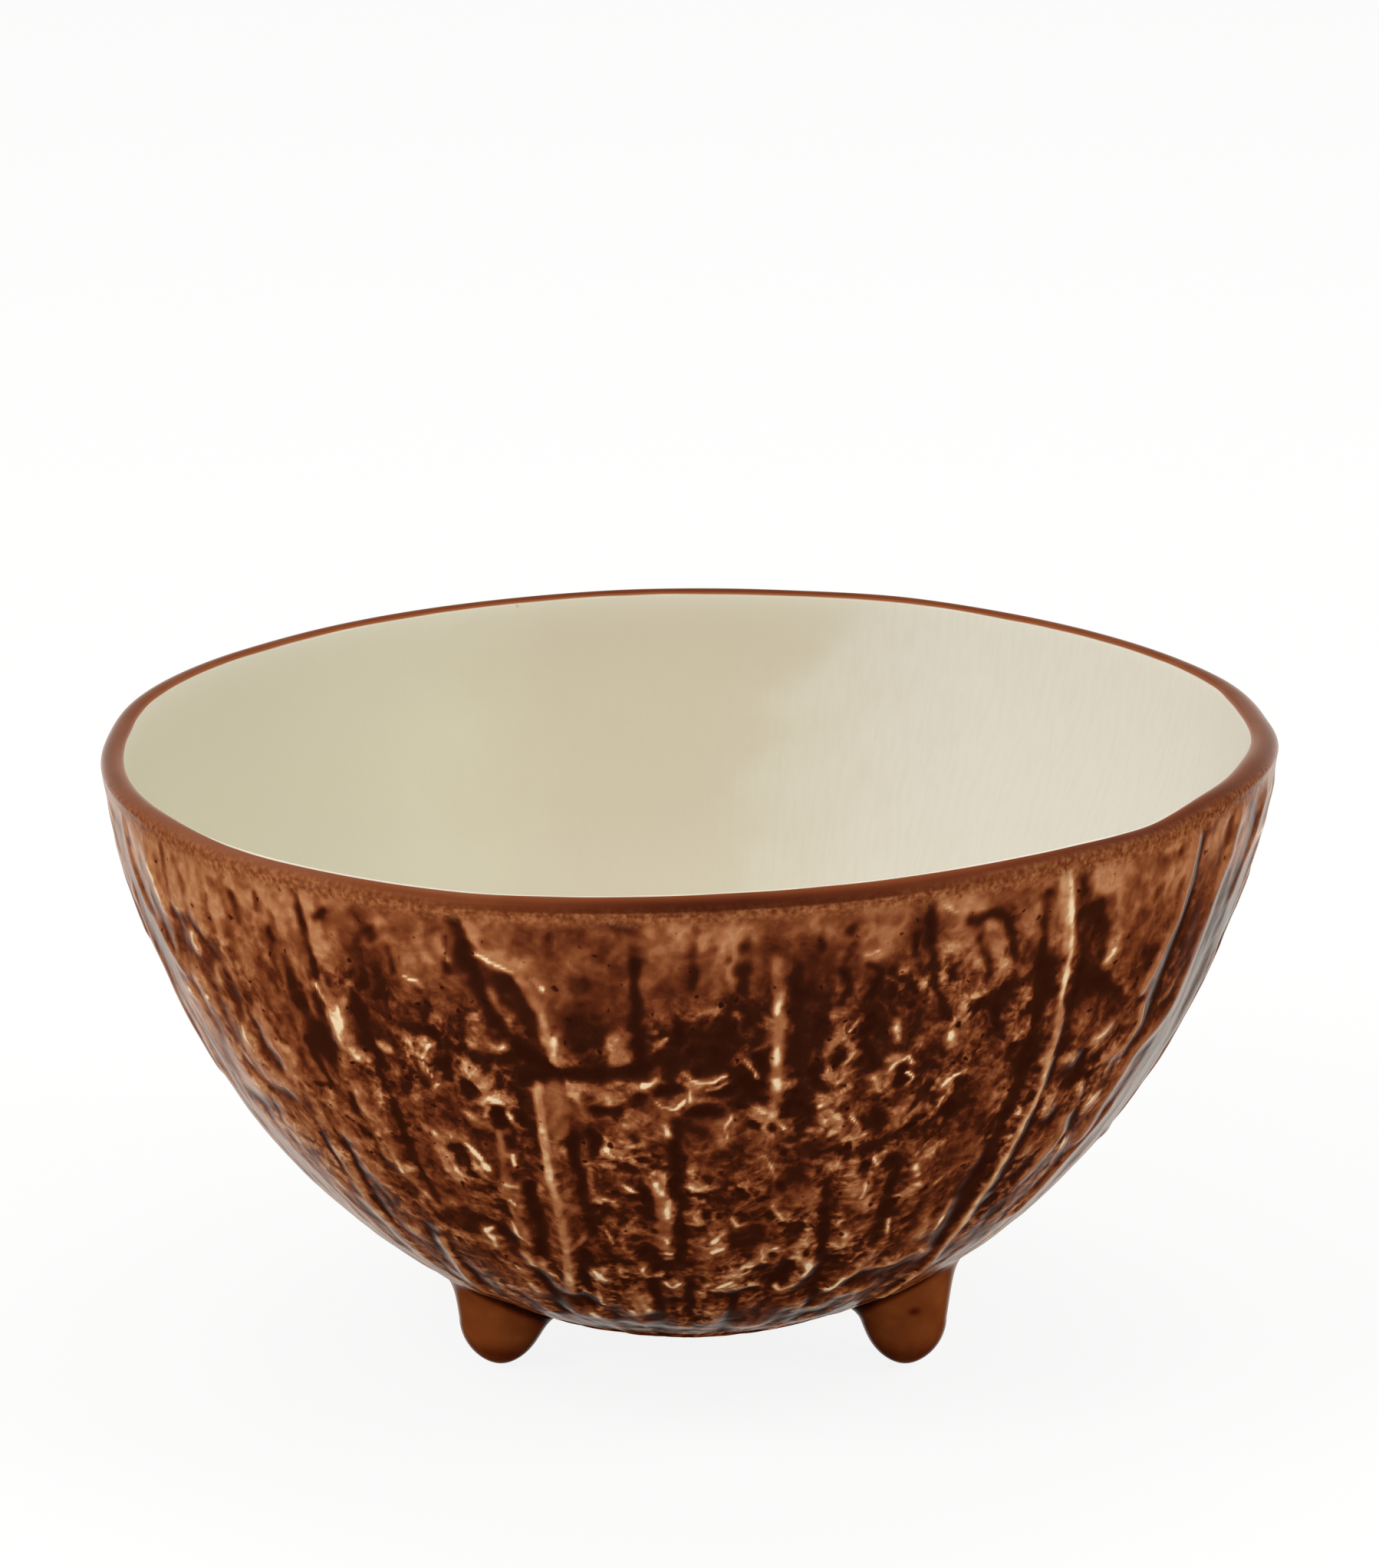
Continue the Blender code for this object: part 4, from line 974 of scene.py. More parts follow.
def closed_rings(name, rings, poles=None, loop=False):
    """A closed body of rings: its ends meet at two poles, or its last ring meets its first."""
    rows, columns = rings.shape[:2]
    index = np.arange(rows * columns).reshape(rows, columns)
    if loop:
        index = np.concatenate([index, index[:1]])
    following = np.roll(index, -1, axis=1)
    quads = np.stack([index[:-1], index[1:], following[1:], following[:-1]], axis=-1).reshape(-1, 4)
    points = rings.reshape(-1, 3)
    triangles = []
    if poles is not None:
        first, last = len(points), len(points) + 1
        points = np.concatenate([points, np.asarray(poles, float)])
        for i in range(columns):
            triangles.append((first, int(index[0, i]), int(following[0, i])))
            triangles.append((last, int(following[-1, i]), int(index[-1, i])))
    return build(name, points, quads, triangles)


def give_values(obj, name, values):
    """A value for every point, for the material to read."""
    layer = obj.data.attributes.new(name, "FLOAT", "POINT")
    padded = np.zeros(len(obj.data.vertices), np.float32)
    padded[: values.size] = values.ravel()
    layer.data.foreach_set("value", padded)


def settle(obj, node, material):
    obj.data.materials.append(material)
    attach(obj, "root")
    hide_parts(node)


# Colours and materials
GLAZE_IOR = 1.5
GLOSSY = 0.18  # roughness of the poured brown and brushed red glazes
FOOT_GLOSSY = 0.22
SATIN = 0.5  # roughness of the cream glaze
# The husk glaze's colours from thin to deep
HUSK_GLAZE_BY_DEPTH = [
    (0.00, "#ead0a9"), (0.10, "#c8986b"), (0.18, "#ac6f46"), (0.31, "#8b4d28"), (0.42, "#753a19"),
    (0.52, "#60290f"), (0.62, "#4b1d08"), (0.73, "#391505"), (1.00, "#2e0d02"),
]


def linear(hex_colour):
    """An sRGB hex colour as linear red, green, blue and alpha."""
    channels = [int(hex_colour[i : i + 2], 16) / 255 for i in (1, 3, 5)]
    return (*[c / 12.92 if c <= 0.04045 else ((c + 0.055) / 1.055) ** 2.4 for c in channels], 1.0)


def add(tree, kind, inputs=(), stops=(), **settings):
    """Adds a node with its settings, its inputs as values or links, and a ramp's stops."""
    node = tree.nodes.new(kind)
    for name, value in settings.items():
        setattr(node, name, value)
    for socket, value in dict(inputs).items():
        if isinstance(value, bpy.types.NodeSocket):
            tree.links.new(value, node.inputs[socket])
        else:
            node.inputs[socket].default_value = value
    for position, _ in stops[:-2]:
        node.color_ramp.elements.new(position)
    for stop, (position, hex_colour) in zip(node.color_ramp.elements if stops else (), stops):
        stop.position = position
        stop.color = linear(hex_colour)
    return node


def per_mm(size):
    """Scale of a pattern whose grain has this size in mm, on coordinates in metres."""
    return 1 / (size * METRES)


def new_material(name):
    material = bpy.data.materials.new(name)
    material.use_nodes = True
    tree = material.node_tree
    return material, tree, tree.nodes["Principled BSDF"]


def ochre_grain(tree, place):
    """Ochre that was sponged on under the rim, as a grainy colour."""
    grit = add(tree, "ShaderNodeTexNoise", {"Vector": place, "Scale": per_mm(0.7), "Detail": 2.0})
    grain = add(tree, "ShaderNodeValToRGB", {"Fac": grit.outputs["Fac"]}, stops=[
        (0.32, "#693113"), (0.50, "#8c4d26"), (0.68, "#a96b40")])
    return grain.outputs["Color"]


def crumbs_painted_lit_and_shaded(tree, place, size, step):
    """Crumbs of about this size in mm: painted light on the side that this step in sizes leads to, painted
    shade past it.
    """
    offset = tuple(size * METRES * length for length in step)
    below = add(tree, "ShaderNodeVectorMath", {0: place, 1: offset}, operation="ADD")
    here, under = [
        add(tree, "ShaderNodeTexNoise", {
            "Vector": vector, "Scale": per_mm(size), "Detail": 1.0, "Distortion": 1.0,
        }).outputs["Fac"]
        for vector in (place, below.outputs[0])
    ]
    painted_light_and_shade = add(tree, "ShaderNodeMath", {0: here, 1: under}, operation="SUBTRACT")
    clear = add(tree, "ShaderNodeMapRange", {
        "Value": painted_light_and_shade.outputs[0], "From Min": -0.11, "From Max": 0.11, "To Min": -0.5, "To Max": 0.5,
    }, interpolation_type="SMOOTHSTEP")
    return clear.outputs["Result"]


def round_pits(tree, place, spacing, chance, radius, edge):
    """Pits about this far apart in mm, as a share that is 1 in a pit. Chance is how many cells have one."""
    cells = add(tree, "ShaderNodeTexVoronoi", {"Vector": place, "Scale": per_mm(spacing)})
    kind = add(tree, "ShaderNodeSeparateColor", {"Color": cells.outputs["Color"]})
    size = add(tree, "ShaderNodeMapRange", {
        "Value": kind.outputs[0], "From Min": 1 - chance, "From Max": 1.0, "To Min": 0.0,
        "To Max": radius / spacing,
    })
    inside = add(tree, "ShaderNodeMath", {
        0: size.outputs["Result"], 1: cells.outputs["Distance"],
    }, operation="SUBTRACT")
    share = add(tree, "ShaderNodeMapRange", {
        "Value": inside.outputs[0], "From Min": 0.0, "From Max": edge / spacing,
    })
    return share.outputs["Result"]


def brown_glaze_over_husk_relief():
    """Earthenware under a poured honey-brown glaze: tan where it runs thin, near black where it pools."""
    material, tree, shader = new_material("brown_glaze_over_husk_relief")
    place = add(tree, "ShaderNodeTexCoord").outputs["Object"]
    depth, crust, edge = [
        add(tree, "ShaderNodeAttribute", attribute_name=name).outputs["Fac"]
        for name in ("glaze_depth", "crust", "ochre_edge")
    ]

    # Crumbs of clay under the glaze, with painted light and shade on their sides, hidden where the glaze is
    # deep
    large = crumbs_painted_lit_and_shaded(tree, place, size=2.8, step=(0.1, 0.1, -0.38))
    small = crumbs_painted_lit_and_shaded(tree, place, size=1.3, step=(-0.28, -0.28, -0.22))
    both = add(tree, "ShaderNodeMath", {0: small, 1: 0.7, 2: large}, operation="MULTIPLY_ADD")
    share = add(tree, "ShaderNodeMapRange", {"Value": crust, "To Min": -0.04, "To Max": -0.26})
    seen = add(tree, "ShaderNodeValToRGB", {"Fac": depth}, stops=[
        (0.08, "#8f8f8f"), (0.32, "#ffffff"), (0.55, "#ffffff"), (0.90, "#7c7c7c")])
    strength = add(tree, "ShaderNodeMath", {
        0: share.outputs["Result"], 1: seen.outputs["Color"],
    }, operation="MULTIPLY")
    crumbly = add(tree, "ShaderNodeMath", {
        0: both.outputs[0], 1: strength.outputs[0], 2: depth,
    }, operation="MULTIPLY_ADD")

    # Pits and pinholes that filled with glaze, their outlines drawn by a swirl
    swirl = add(tree, "ShaderNodeTexNoise", {"Vector": place, "Scale": per_mm(1.6), "Detail": 1.0})
    bent = add(tree, "ShaderNodeVectorMath", {
        0: swirl.outputs["Color"], 1: (1.6 * METRES,) * 3, 2: place,
    }, operation="MULTIPLY_ADD").outputs[0]
    pits = round_pits(tree, bent, spacing=2.6, chance=0.55, radius=0.95, edge=0.3)
    pinholes = round_pits(tree, bent, spacing=1.7, chance=0.48, radius=0.48, edge=0.2)
    whole = crumbly.outputs[0]
    for holes, in_soft, in_crust in ((pits, 0.06, 0.42), (pinholes, 0.3, 0.7)):
        filled = add(tree, "ShaderNodeMapRange", {"Value": crust, "To Min": in_soft, "To Max": in_crust})
        whole = add(tree, "ShaderNodeMath", {
            0: holes, 1: filled.outputs["Result"], 2: whole,
        }, operation="MULTIPLY_ADD").outputs[0]
    glaze = add(tree, "ShaderNodeValToRGB", {"Fac": whole}, stops=HUSK_GLAZE_BY_DEPTH)
    colour = add(tree, "ShaderNodeMix", {
        0: edge, 6: glaze.outputs["Color"], 7: ochre_grain(tree, place),
    }, data_type="RGBA")
    tree.links.new(colour.outputs[2], shader.inputs["Base Color"])

    # The face ripples a little, and its gloss fades out towards the shaded bottom
    ripple = add(tree, "ShaderNodeTexNoise", {"Vector": place, "Scale": per_mm(1.6), "Detail": 1.0})
    bump = add(tree, "ShaderNodeBump", {
        "Height": ripple.outputs["Fac"], "Strength": 0.3, "Distance": 0.12 * METRES,
    })
    tree.links.new(bump.outputs["Normal"], shader.inputs["Normal"])
    upright = add(tree, "ShaderNodeSeparateXYZ", {"Vector": place})
    gloss = add(tree, "ShaderNodeMapRange", {
        "Value": upright.outputs["Z"], "From Min": 10 * METRES, "From Max": 27 * METRES,
        "To Min": 0.0, "To Max": 0.5,
    })
    tree.links.new(gloss.outputs["Result"], shader.inputs["Specular IOR Level"])
    shader.inputs["Roughness"].default_value = GLOSSY
    shader.inputs["IOR"].default_value = GLAZE_IOR
    return material


def brushed_cream(tree, place):
    """Cream glaze brushed on upright, paler at the rim and over the right side: a second coat there, and
    painted light.
    """
    near_rim = add(tree, "ShaderNodeAttribute", attribute_name="near_rim").outputs["Fac"]
    parts = add(tree, "ShaderNodeSeparateXYZ", {"Vector": place})
    clouds = add(tree, "ShaderNodeTexNoise", {"Vector": place, "Scale": per_mm(9.0), "Detail": 4.0})
    wander = add(tree, "ShaderNodeMath", {
        0: clouds.outputs["Fac"], 1: 16 * METRES, 2: parts.outputs["X"],
    }, operation="MULTIPLY_ADD")
    across = add(tree, "ShaderNodeMapRange", {
        "Value": wander.outputs[0], "From Min": -52 * METRES, "From Max": 68 * METRES,
    })
    # Lighter over the right side: a second coat there, and painted light
    first = add(tree, "ShaderNodeValToRGB", {"Fac": across.outputs["Result"]}, stops=[
        (0.20, "#cdc7ae"), (0.36, "#c8bea6")])
    second = add(tree, "ShaderNodeValToRGB", {"Fac": across.outputs["Result"]}, stops=[
        (0.52, "#d0c9b6"), (0.85, "#dbd6ca")])

    # The second coat's edge leans to the right as it rises: a step in it, and a broad blend about it
    lean = add(tree, "ShaderNodeMapRange", {
        "Value": parts.outputs["Z"], "From Min": 61 * METRES, "From Max": 81 * METRES,
        "To Min": 16 * METRES, "To Max": 31 * METRES,
    })
    past_edge = add(tree, "ShaderNodeMath", {
        0: wander.outputs[0], 1: lean.outputs["Result"],
    }, operation="SUBTRACT")
    step, blend = [
        add(tree, "ShaderNodeMapRange", {
            "Value": past_edge.outputs[0], "From Min": begin * METRES, "From Max": end * METRES,
        }, interpolation_type="SMOOTHSTEP").outputs["Result"]
        for begin, end in ((-3.0, 4.0), (-16.0, 18.0))
    ]
    share = add(tree, "ShaderNodeMix", {0: 0.35, 2: blend, 3: step}, data_type="FLOAT")
    coats_with_painted_light = add(tree, "ShaderNodeMix", {
        0: share.outputs[0], 6: first.outputs["Color"], 7: second.outputs["Color"],
    }, data_type="RGBA")
    low = add(tree, "ShaderNodeMapRange", {
        "Value": parts.outputs["Z"], "From Min": 62 * METRES, "From Max": 44 * METRES, "To Max": 0.18,
    })
    pale_share = add(tree, "ShaderNodeMath", {
        0: near_rim, 1: 0.4, 2: low.outputs["Result"],
    }, operation="MULTIPLY_ADD")
    pale = add(tree, "ShaderNodeMix", {
        0: pale_share.outputs[0], 6: coats_with_painted_light.outputs[2], 7: linear("#e3dfd0"),
    }, data_type="RGBA")

    # Streaks of the brush run down the wall, so they are spaced by the angle round the bowl
    angle = add(tree, "ShaderNodeMath", {0: parts.outputs["X"], 1: parts.outputs["Y"]}, operation="ARCTAN2")
    round_wall = add(tree, "ShaderNodeMath", {0: angle.outputs[0], 1: 70 * METRES}, operation="MULTIPLY")
    down_wall = add(tree, "ShaderNodeMath", {0: parts.outputs["Z"], 1: 0.2}, operation="MULTIPLY")
    on_wall = add(tree, "ShaderNodeCombineXYZ", {"X": round_wall.outputs[0], "Z": down_wall.outputs[0]})
    bristles = add(tree, "ShaderNodeTexNoise", {
        "Vector": on_wall.outputs[0], "Scale": per_mm(0.9), "Detail": 3.0,
    })
    streaks = add(tree, "ShaderNodeValToRGB", {"Fac": bristles.outputs["Fac"]}, stops=[
        (0.30, "#f6f4ee"), (0.58, "#ffffff")])
    streak_share = add(tree, "ShaderNodeMapRange", {"Value": share.outputs[0], "To Min": 0.1, "To Max": 0.4})
    streaked = add(tree, "ShaderNodeMix", {
        0: streak_share.outputs["Result"], 6: pale.outputs[2], 7: streaks.outputs["Color"],
    }, data_type="RGBA", blend_type="MULTIPLY")
    specks = round_pits(tree, place, spacing=6.0, chance=0.6, radius=0.35, edge=0.2)
    speck_share = add(tree, "ShaderNodeMath", {0: specks, 1: 0.6}, operation="MULTIPLY")
    colour = add(tree, "ShaderNodeMix", {
        0: speck_share.outputs[0], 6: streaked.outputs[2], 7: linear("#8a7c60"),
    }, data_type="RGBA")
    return colour.outputs[2]


def red_brown_rim_glaze():
    """Iron-red glaze brushed over the lip: smooth, orange where it thins at the cream that laps over it."""
    material, tree, shader = new_material("red_brown_rim_glaze")
    place = add(tree, "ShaderNodeTexCoord").outputs["Object"]
    edge, cream, depth = [
        add(tree, "ShaderNodeAttribute", attribute_name=name).outputs["Fac"]
        for name in ("ochre_edge", "cream_lap_and_painted_highlight", "glaze_depth")
    ]
    flow = add(tree, "ShaderNodeTexNoise", {"Vector": place, "Scale": per_mm(6.0), "Detail": 4.0})
    uneven = add(tree, "ShaderNodeMath", {
        0: flow.outputs["Fac"], 1: 0.3, 2: -0.15,
    }, operation="MULTIPLY_ADD")
    whole = add(tree, "ShaderNodeMath", {0: depth, 1: uneven.outputs[0]}, operation="ADD")
    body = add(tree, "ShaderNodeValToRGB", {"Fac": whole.outputs[0]}, stops=[
        (0.0, "#875034"), (0.25, "#753917"), (0.60, "#60280a"), (1.0, "#431401")])
    lower = add(tree, "ShaderNodeMix", {
        0: edge, 6: body.outputs["Color"], 7: ochre_grain(tree, place),
    }, data_type="RGBA")

    # Towards the cream: the thinned red, the cream that laps over it, and a painted highlight along the
    # cream's edge in front
    thin_share, lap_share, painted_highlight_share = [
        add(tree, "ShaderNodeMapRange", {
            "Value": cream, "From Min": begin, "From Max": full,
        }).outputs["Result"]
        for begin, full in ((0.2, 0.4), (0.45, 0.9), (1.0, 2.0))
    ]
    covers = (
        (thin_share, linear("#935027")),
        (lap_share, brushed_cream(tree, place)),
        (painted_highlight_share, linear("#ebe7d2")),
    )
    colour = lower.outputs[2]
    for share, cover in covers:
        colour = add(tree, "ShaderNodeMix", {0: share, 6: colour, 7: cover}, data_type="RGBA").outputs[2]
    tree.links.new(colour, shader.inputs["Base Color"])
    satin = add(tree, "ShaderNodeMapRange", {"Value": lap_share, "To Min": GLOSSY, "To Max": SATIN})
    tree.links.new(satin.outputs["Result"], shader.inputs["Roughness"])
    shader.inputs["IOR"].default_value = GLAZE_IOR
    return material


def cream_lining_glaze():
    """Opaque cream glaze with a satin face, brushed on upright."""
    material, tree, shader = new_material("cream_lining_glaze")
    place = add(tree, "ShaderNodeTexCoord").outputs["Object"]
    tree.links.new(brushed_cream(tree, place), shader.inputs["Base Color"])
    shader.inputs["Roughness"].default_value = SATIN
    shader.inputs["IOR"].default_value = GLAZE_IOR
    return material


def brown_foot_glaze():
    """The same brown glaze dipped thick and smooth on the feet, dark where it gathered at root and tip;
    painted shade and light too.
    """
    material, tree, shader = new_material("brown_foot_glaze")
    place = add(tree, "ShaderNodeTexCoord").outputs["Object"]
    depth = add(tree, "ShaderNodeAttribute", attribute_name="glaze_depth").outputs["Fac"]
    flow = add(tree, "ShaderNodeTexNoise", {"Vector": place, "Scale": per_mm(4.0), "Detail": 3.0})
    uneven = add(tree, "ShaderNodeMapRange", {
        "Value": flow.outputs["Fac"], "From Min": 0.3, "From Max": 0.7, "To Min": -0.10, "To Max": 0.10,
    })
    whole = add(tree, "ShaderNodeMath", {0: depth, 1: uneven.outputs["Result"]}, operation="ADD")
    colour = add(tree, "ShaderNodeValToRGB", {"Fac": whole.outputs[0]}, stops=[
        (0.15, "#965221"), (0.36, "#7d3e17"), (0.66, "#602408"), (1.0, "#2a0a02")])
    tree.links.new(colour.outputs["Color"], shader.inputs["Base Color"])
    shader.inputs["Roughness"].default_value = FOOT_GLOSSY
    shader.inputs["IOR"].default_value = GLAZE_IOR
    shader.inputs["Specular IOR Level"].default_value = 0.15
    return material


# The pieces
def lip_arc(coat, steps):
    """Rows of radius, height and inside share over the lip, from its inside to its outside.

    They lie on a half ellipse this coat below the lip's face.
    """
    radial, up = outward(LIP_TURN)
    middle_radius, middle_height = wall_point(LIP_TURN, LIP / 2)
    angle = np.linspace(math.pi, 0.0, steps)
    across = (LIP / 2 - coat) * np.cos(angle)
    along = (LIP_CROWN - coat) * np.sin(angle)
    radius = middle_radius + across * radial - along * up
    height = middle_height + across * up + along * radial
    return np.stack([radius, height, (1 - np.cos(angle)) / 2])


def wall_row(turns, depths, inside):
    """Radius, height and inside share of a row of points of the wall."""
    radius, height = wall_point(np.asarray(turns), np.asarray(depths))
    return np.stack([radius, height, np.full(len(radius), inside)])


def rings_of(rows, columns):
    """Hand-shaped rings from the rows of a profile."""
    around = round_steps(columns)
    profile = np.concatenate(rows, axis=1)
    radius, height, inside = (np.repeat(values[:, None], columns, axis=1) for values in profile)
    return by_hand(radius, height, np.repeat(around[None, :], len(radius), axis=0), inside)


def pole_point(depth):
    _, height = wall_point(0.0, depth)
    return by_hand(np.array(0.0), np.array(height), np.array(0.0))


def make_husk(surface, depth, crust):
    radius, height = wall_point(GRID_TURN[:-1], -surface[:-1])
    outside = by_hand(radius, height, GRID_AROUND[:-1])[::-1]
    inside_turns = np.linspace(LIP_TURN, 0.0, HIDDEN_ROWS)[1:-1]
    hidden = rings_of(
        [
            wall_row([BAND_TURN], [COAT], 0.0),
            lip_arc(COAT, HIDDEN_LIP_STEPS)[:, ::-1],
            wall_row(inside_turns, whole_wall(inside_turns) - COAT, 1.0),
        ],
        COLUMNS,
    )
    rings = np.concatenate([outside, hidden])
    poles = [pole_point(-float(surface[-1].mean())), pole_point(WALL - COAT)]
    husk = closed_rings("husk_shell_glazed", rings, poles)
    ochre = OCHRE_SHARE * smooth_step(BAND_DOWN + OCHRE_DOWN, BAND_DOWN, GRID_DOWN)
    # The glaze depth carries painted shade at the feet and on the right flank
    for name, values in (("glaze_depth", depth), ("crust", crust), ("ochre_edge", ochre)):
        give_values(husk, name, values[:-1][::-1])
    settle(husk, "husk_shell", brown_glaze_over_husk_relief())


def make_lining():
    turns = np.linspace(0.0, INNER_BAND_TURN, LINING_ROWS)[1:]
    back_turns = np.linspace(INNER_BAND_TURN, 0.0, HIDDEN_ROWS)[:-1]
    rings = rings_of(
        [
            wall_row(turns, whole_wall(turns), 1.0),
            wall_row(back_turns, whole_wall(back_turns) - GLAZE, 1.0),
        ],
        LINING_COLUMNS,
    )
    lining = closed_rings("cream_lining", rings[::-1], [pole_point(WALL - GLAZE), pole_point(WALL)])
    below_band = down_at(turns) - down_at(INNER_BAND_TURN)
    near_rim = np.zeros(rings.shape[:2])
    near_rim[: len(turns)] = np.exp(-np.maximum(below_band, 0) / CREAM_PALE_REACH)[:, None]
    give_values(lining, "near_rim", near_rim[::-1])
    settle(lining, "inner_glaze", cream_lining_glaze())


def cream_over_lip(around, over, edge_points):
    """How far the cream laps over the lip: 1 where it covers, and up to 2 for a painted highlight along its
    edge in front.
    """
    off_front = np.abs(around)
    lap = CREAM_LAP_BACK + (CREAM_LAP_FRONT - CREAM_LAP_BACK) * smooth_step(75, 40, off_front)
    lap = lap + CREAM_LAP_WANDER * smooth_noise(edge_points / CREAM_LAP_GRAIN, seed=90)
    past_lap = over - lap[None, :]
    thinning = 0.4 * smooth_step(30, 70, off_front)
    cream = thinning * smooth_step(-50, -4, past_lap)
    cream = cream + (1 - thinning) * smooth_step(-CREAM_LAP_SOFT, CREAM_LAP_SOFT, past_lap)
    # A painted highlight along the cream's edge, across the front of the lip
    painted_highlight = hill(past_lap, 26, 12) * smooth_step(75, 45, off_front)
    return cream + painted_highlight * smooth_step(0, 8, past_lap)


def rim_glaze_depth(around, over, sides):
    """How deep the red glaze is below the lip, and over it: deep in front, and shallower on the left."""
    behind = smooth_step(80, 110, np.abs(around))
    in_front = 0.47 - 0.42 * hill(around, -50, 26) + 0.53 * hill(around, 3, 17) + 0.26 * hill(around, 52, 24)
    thickness = in_front * (1 - behind) + (0.2 + 0.3 * hill(np.abs(around), 180, 30)) * behind
    covered = smooth_step(120 + 15 * sides, 20 + 40 * sides, over)
    return thickness, thickness * (covered + (1 - covered) * behind)


def make_band():
    skirt_turns = np.linspace(LIP_TURN, BAND_TURN, SKIRT_ROWS)[1:]
    inner_depth = whole_wall(INNER_BAND_TURN)
    rings = rings_of(
        [
            lip_arc(0.0, LIP_STEPS),
            wall_row(skirt_turns, np.zeros(len(skirt_turns)), 0.0),
            wall_row([BAND_TURN], [GLAZE], 0.0),
            lip_arc(GLAZE, BAND_UNDER_STEPS)[:, ::-1],
            wall_row([INNER_BAND_TURN] * 2, [inner_depth - GLAZE, inner_depth], 1.0),
        ],
        BAND_COLUMNS,
    )
    band = closed_rings("rim_band_glazed", rings[::-1], loop=True)

    # Values for the lip's rows, by the angle over the lip from its outside, and for the skirt below them
    around = round_steps(BAND_COLUMNS)
    over = np.linspace(180.0, 0.0, LIP_STEPS)[:, None]
    sides = smooth_step(15, 40, np.abs(around)) * smooth_step(100, 80, np.abs(around))
    skirt_end = LIP_STEPS + len(skirt_turns)
    cream = np.ones(rings.shape[:2])
    cream[:LIP_STEPS] = cream_over_lip(around, over, rings[LIP_STEPS])
    cream[LIP_STEPS : skirt_end + 1] = 0.0
    ochre = np.zeros(rings.shape[:2])
    start = 0.1 + 0.6 * sides
    ochre[:LIP_STEPS] = start * smooth_step(35 + 40 * sides, 5 * sides, over)
    down_skirt = smooth_step(0.1, 0.6, np.linspace(0, 1, len(skirt_turns)))[:, None]
    ochre[LIP_STEPS:skirt_end] = start + (OCHRE_SHARE - start) * down_skirt
    below_lip, over_lip = rim_glaze_depth(around, over, sides)
    glaze_depth = np.ones(rings.shape[:2]) * below_lip
    glaze_depth[:LIP_STEPS] = over_lip
    give_values(band, "ochre_edge", ochre[::-1])
    give_values(band, "cream_lap_and_painted_highlight", cream[::-1])
    give_values(band, "glaze_depth", glaze_depth[::-1])
    give_values(band, "near_rim", np.ones(rings.shape[:2]))
    settle(band, "rim_band", red_brown_rim_glaze())


def foot_glaze_with_painted_shade_and_light(height, below_joint, inward):
    """Glaze gathered at the joint and above the tip; painted shade at the joint and under the bowl, painted
    light at the tip.
    """
    # Pale at the very tip as painted light from the floor, deep just above it where the glaze gathered,
    # thinner higher up
    depth = 0.16 + 0.50 * smooth_step(0.2, 1.8, height) - 0.28 * smooth_step(2.4, 5.5, height)
    # Darker on the side under the bowl as painted shade, and at the joint as gathered glaze with painted
    # shade
    return depth + 0.20 * smooth_step(0.1, 1.0, inward) + 0.6 * hill(below_joint, 0, 0.8)


def foot_rings(name, x, y):
    """A foot's rings from its tip to inside the shell, and how deep the glaze is on each."""
    angle = np.linspace(0, math.tau, FOOT_COLUMNS, endpoint=False)
    _, joint_height = foot_joint(x, y, angle)
    inward = np.cos(angle - math.atan2(-y, -x))
    rings = []
    depths = []
    for share in (1 - np.cos(np.linspace(0, math.pi, FOOT_ROWS)))[1:] / 2:
        height = joint_height * share
        below_joint = joint_height - height
        radius = foot_radius(height, below_joint)
        rings.append(np.stack([x + radius * np.cos(angle), y + radius * np.sin(angle), height], axis=-1))
        depth = foot_glaze_with_painted_shade_and_light(height, below_joint, inward)
        # A spot of painted shade below the joint on the front of one foot
        if name == SHADE_SPOT_FOOT:
            across_shade_spot = (radius * np.cos(angle) - SHADE_SPOT_ACROSS) / SHADE_SPOT_HALF_WIDTH
            along_shade_spot = (height - SHADE_SPOT_HEIGHT) / SHADE_SPOT_HALF_HEIGHT
            in_front = np.sin(angle) < 0
            depth = depth + SHADE_SPOT_DEPTH * hill(np.hypot(across_shade_spot, along_shade_spot), 0, 1) * in_front
        depths.append(depth)
    rings.append(rings[-1] + (0.0, 0.0, FOOT_SINK))
    depths.append(depths[-1])
    return np.array(rings), np.array(depths)


def make_feet():
    material = brown_foot_glaze()
    for node, x, y in foot_places():
        rings, depths = foot_rings(node, x, y)
        poles = [(x, y, 0.0), (x, y, float(nut_height(math.hypot(x, y))) + FOOT_SINK)]
        foot = closed_rings(node + "_glazed", rings, poles)
        # The glaze depth carries painted shade and light on the feet
        give_values(foot, "glaze_depth", depths)
        settle(foot, node, material)


# Studio
CAMERA_DISTANCE = 0.900
CAMERA_ELEVATION = math.radians(15.6)
FOCAL_PIXELS = 8913  # of the picture's own frame
RIM_CENTRE_PIXEL = (896.0, 956.4)
SENSOR = 36.0
AIM_HEIGHT = 83.0


def make_camera():
    data = bpy.data.cameras.new("camera")
    camera = bpy.data.objects.new("camera", data)
    bpy.context.scene.collection.objects.link(camera)
    camera.location = (
        0.0,
        -CAMERA_DISTANCE * math.cos(CAMERA_ELEVATION),
        AIM_HEIGHT * METRES + CAMERA_DISTANCE * math.sin(CAMERA_ELEVATION),
    )
    camera.rotation_euler = (math.pi / 2 - CAMERA_ELEVATION, 0.0, 0.0)
    data.sensor_width = SENSOR
    data.lens = FOCAL_PIXELS * SENSOR / PICTURE_HEIGHT
    data.shift_x = (PICTURE_WIDTH / 2 - RIM_CENTRE_PIXEL[0]) / PICTURE_HEIGHT
    data.shift_y = (RIM_CENTRE_PIXEL[1] - PICTURE_HEIGHT / 2) / PICTURE_HEIGHT
    bpy.context.scene.camera = camera


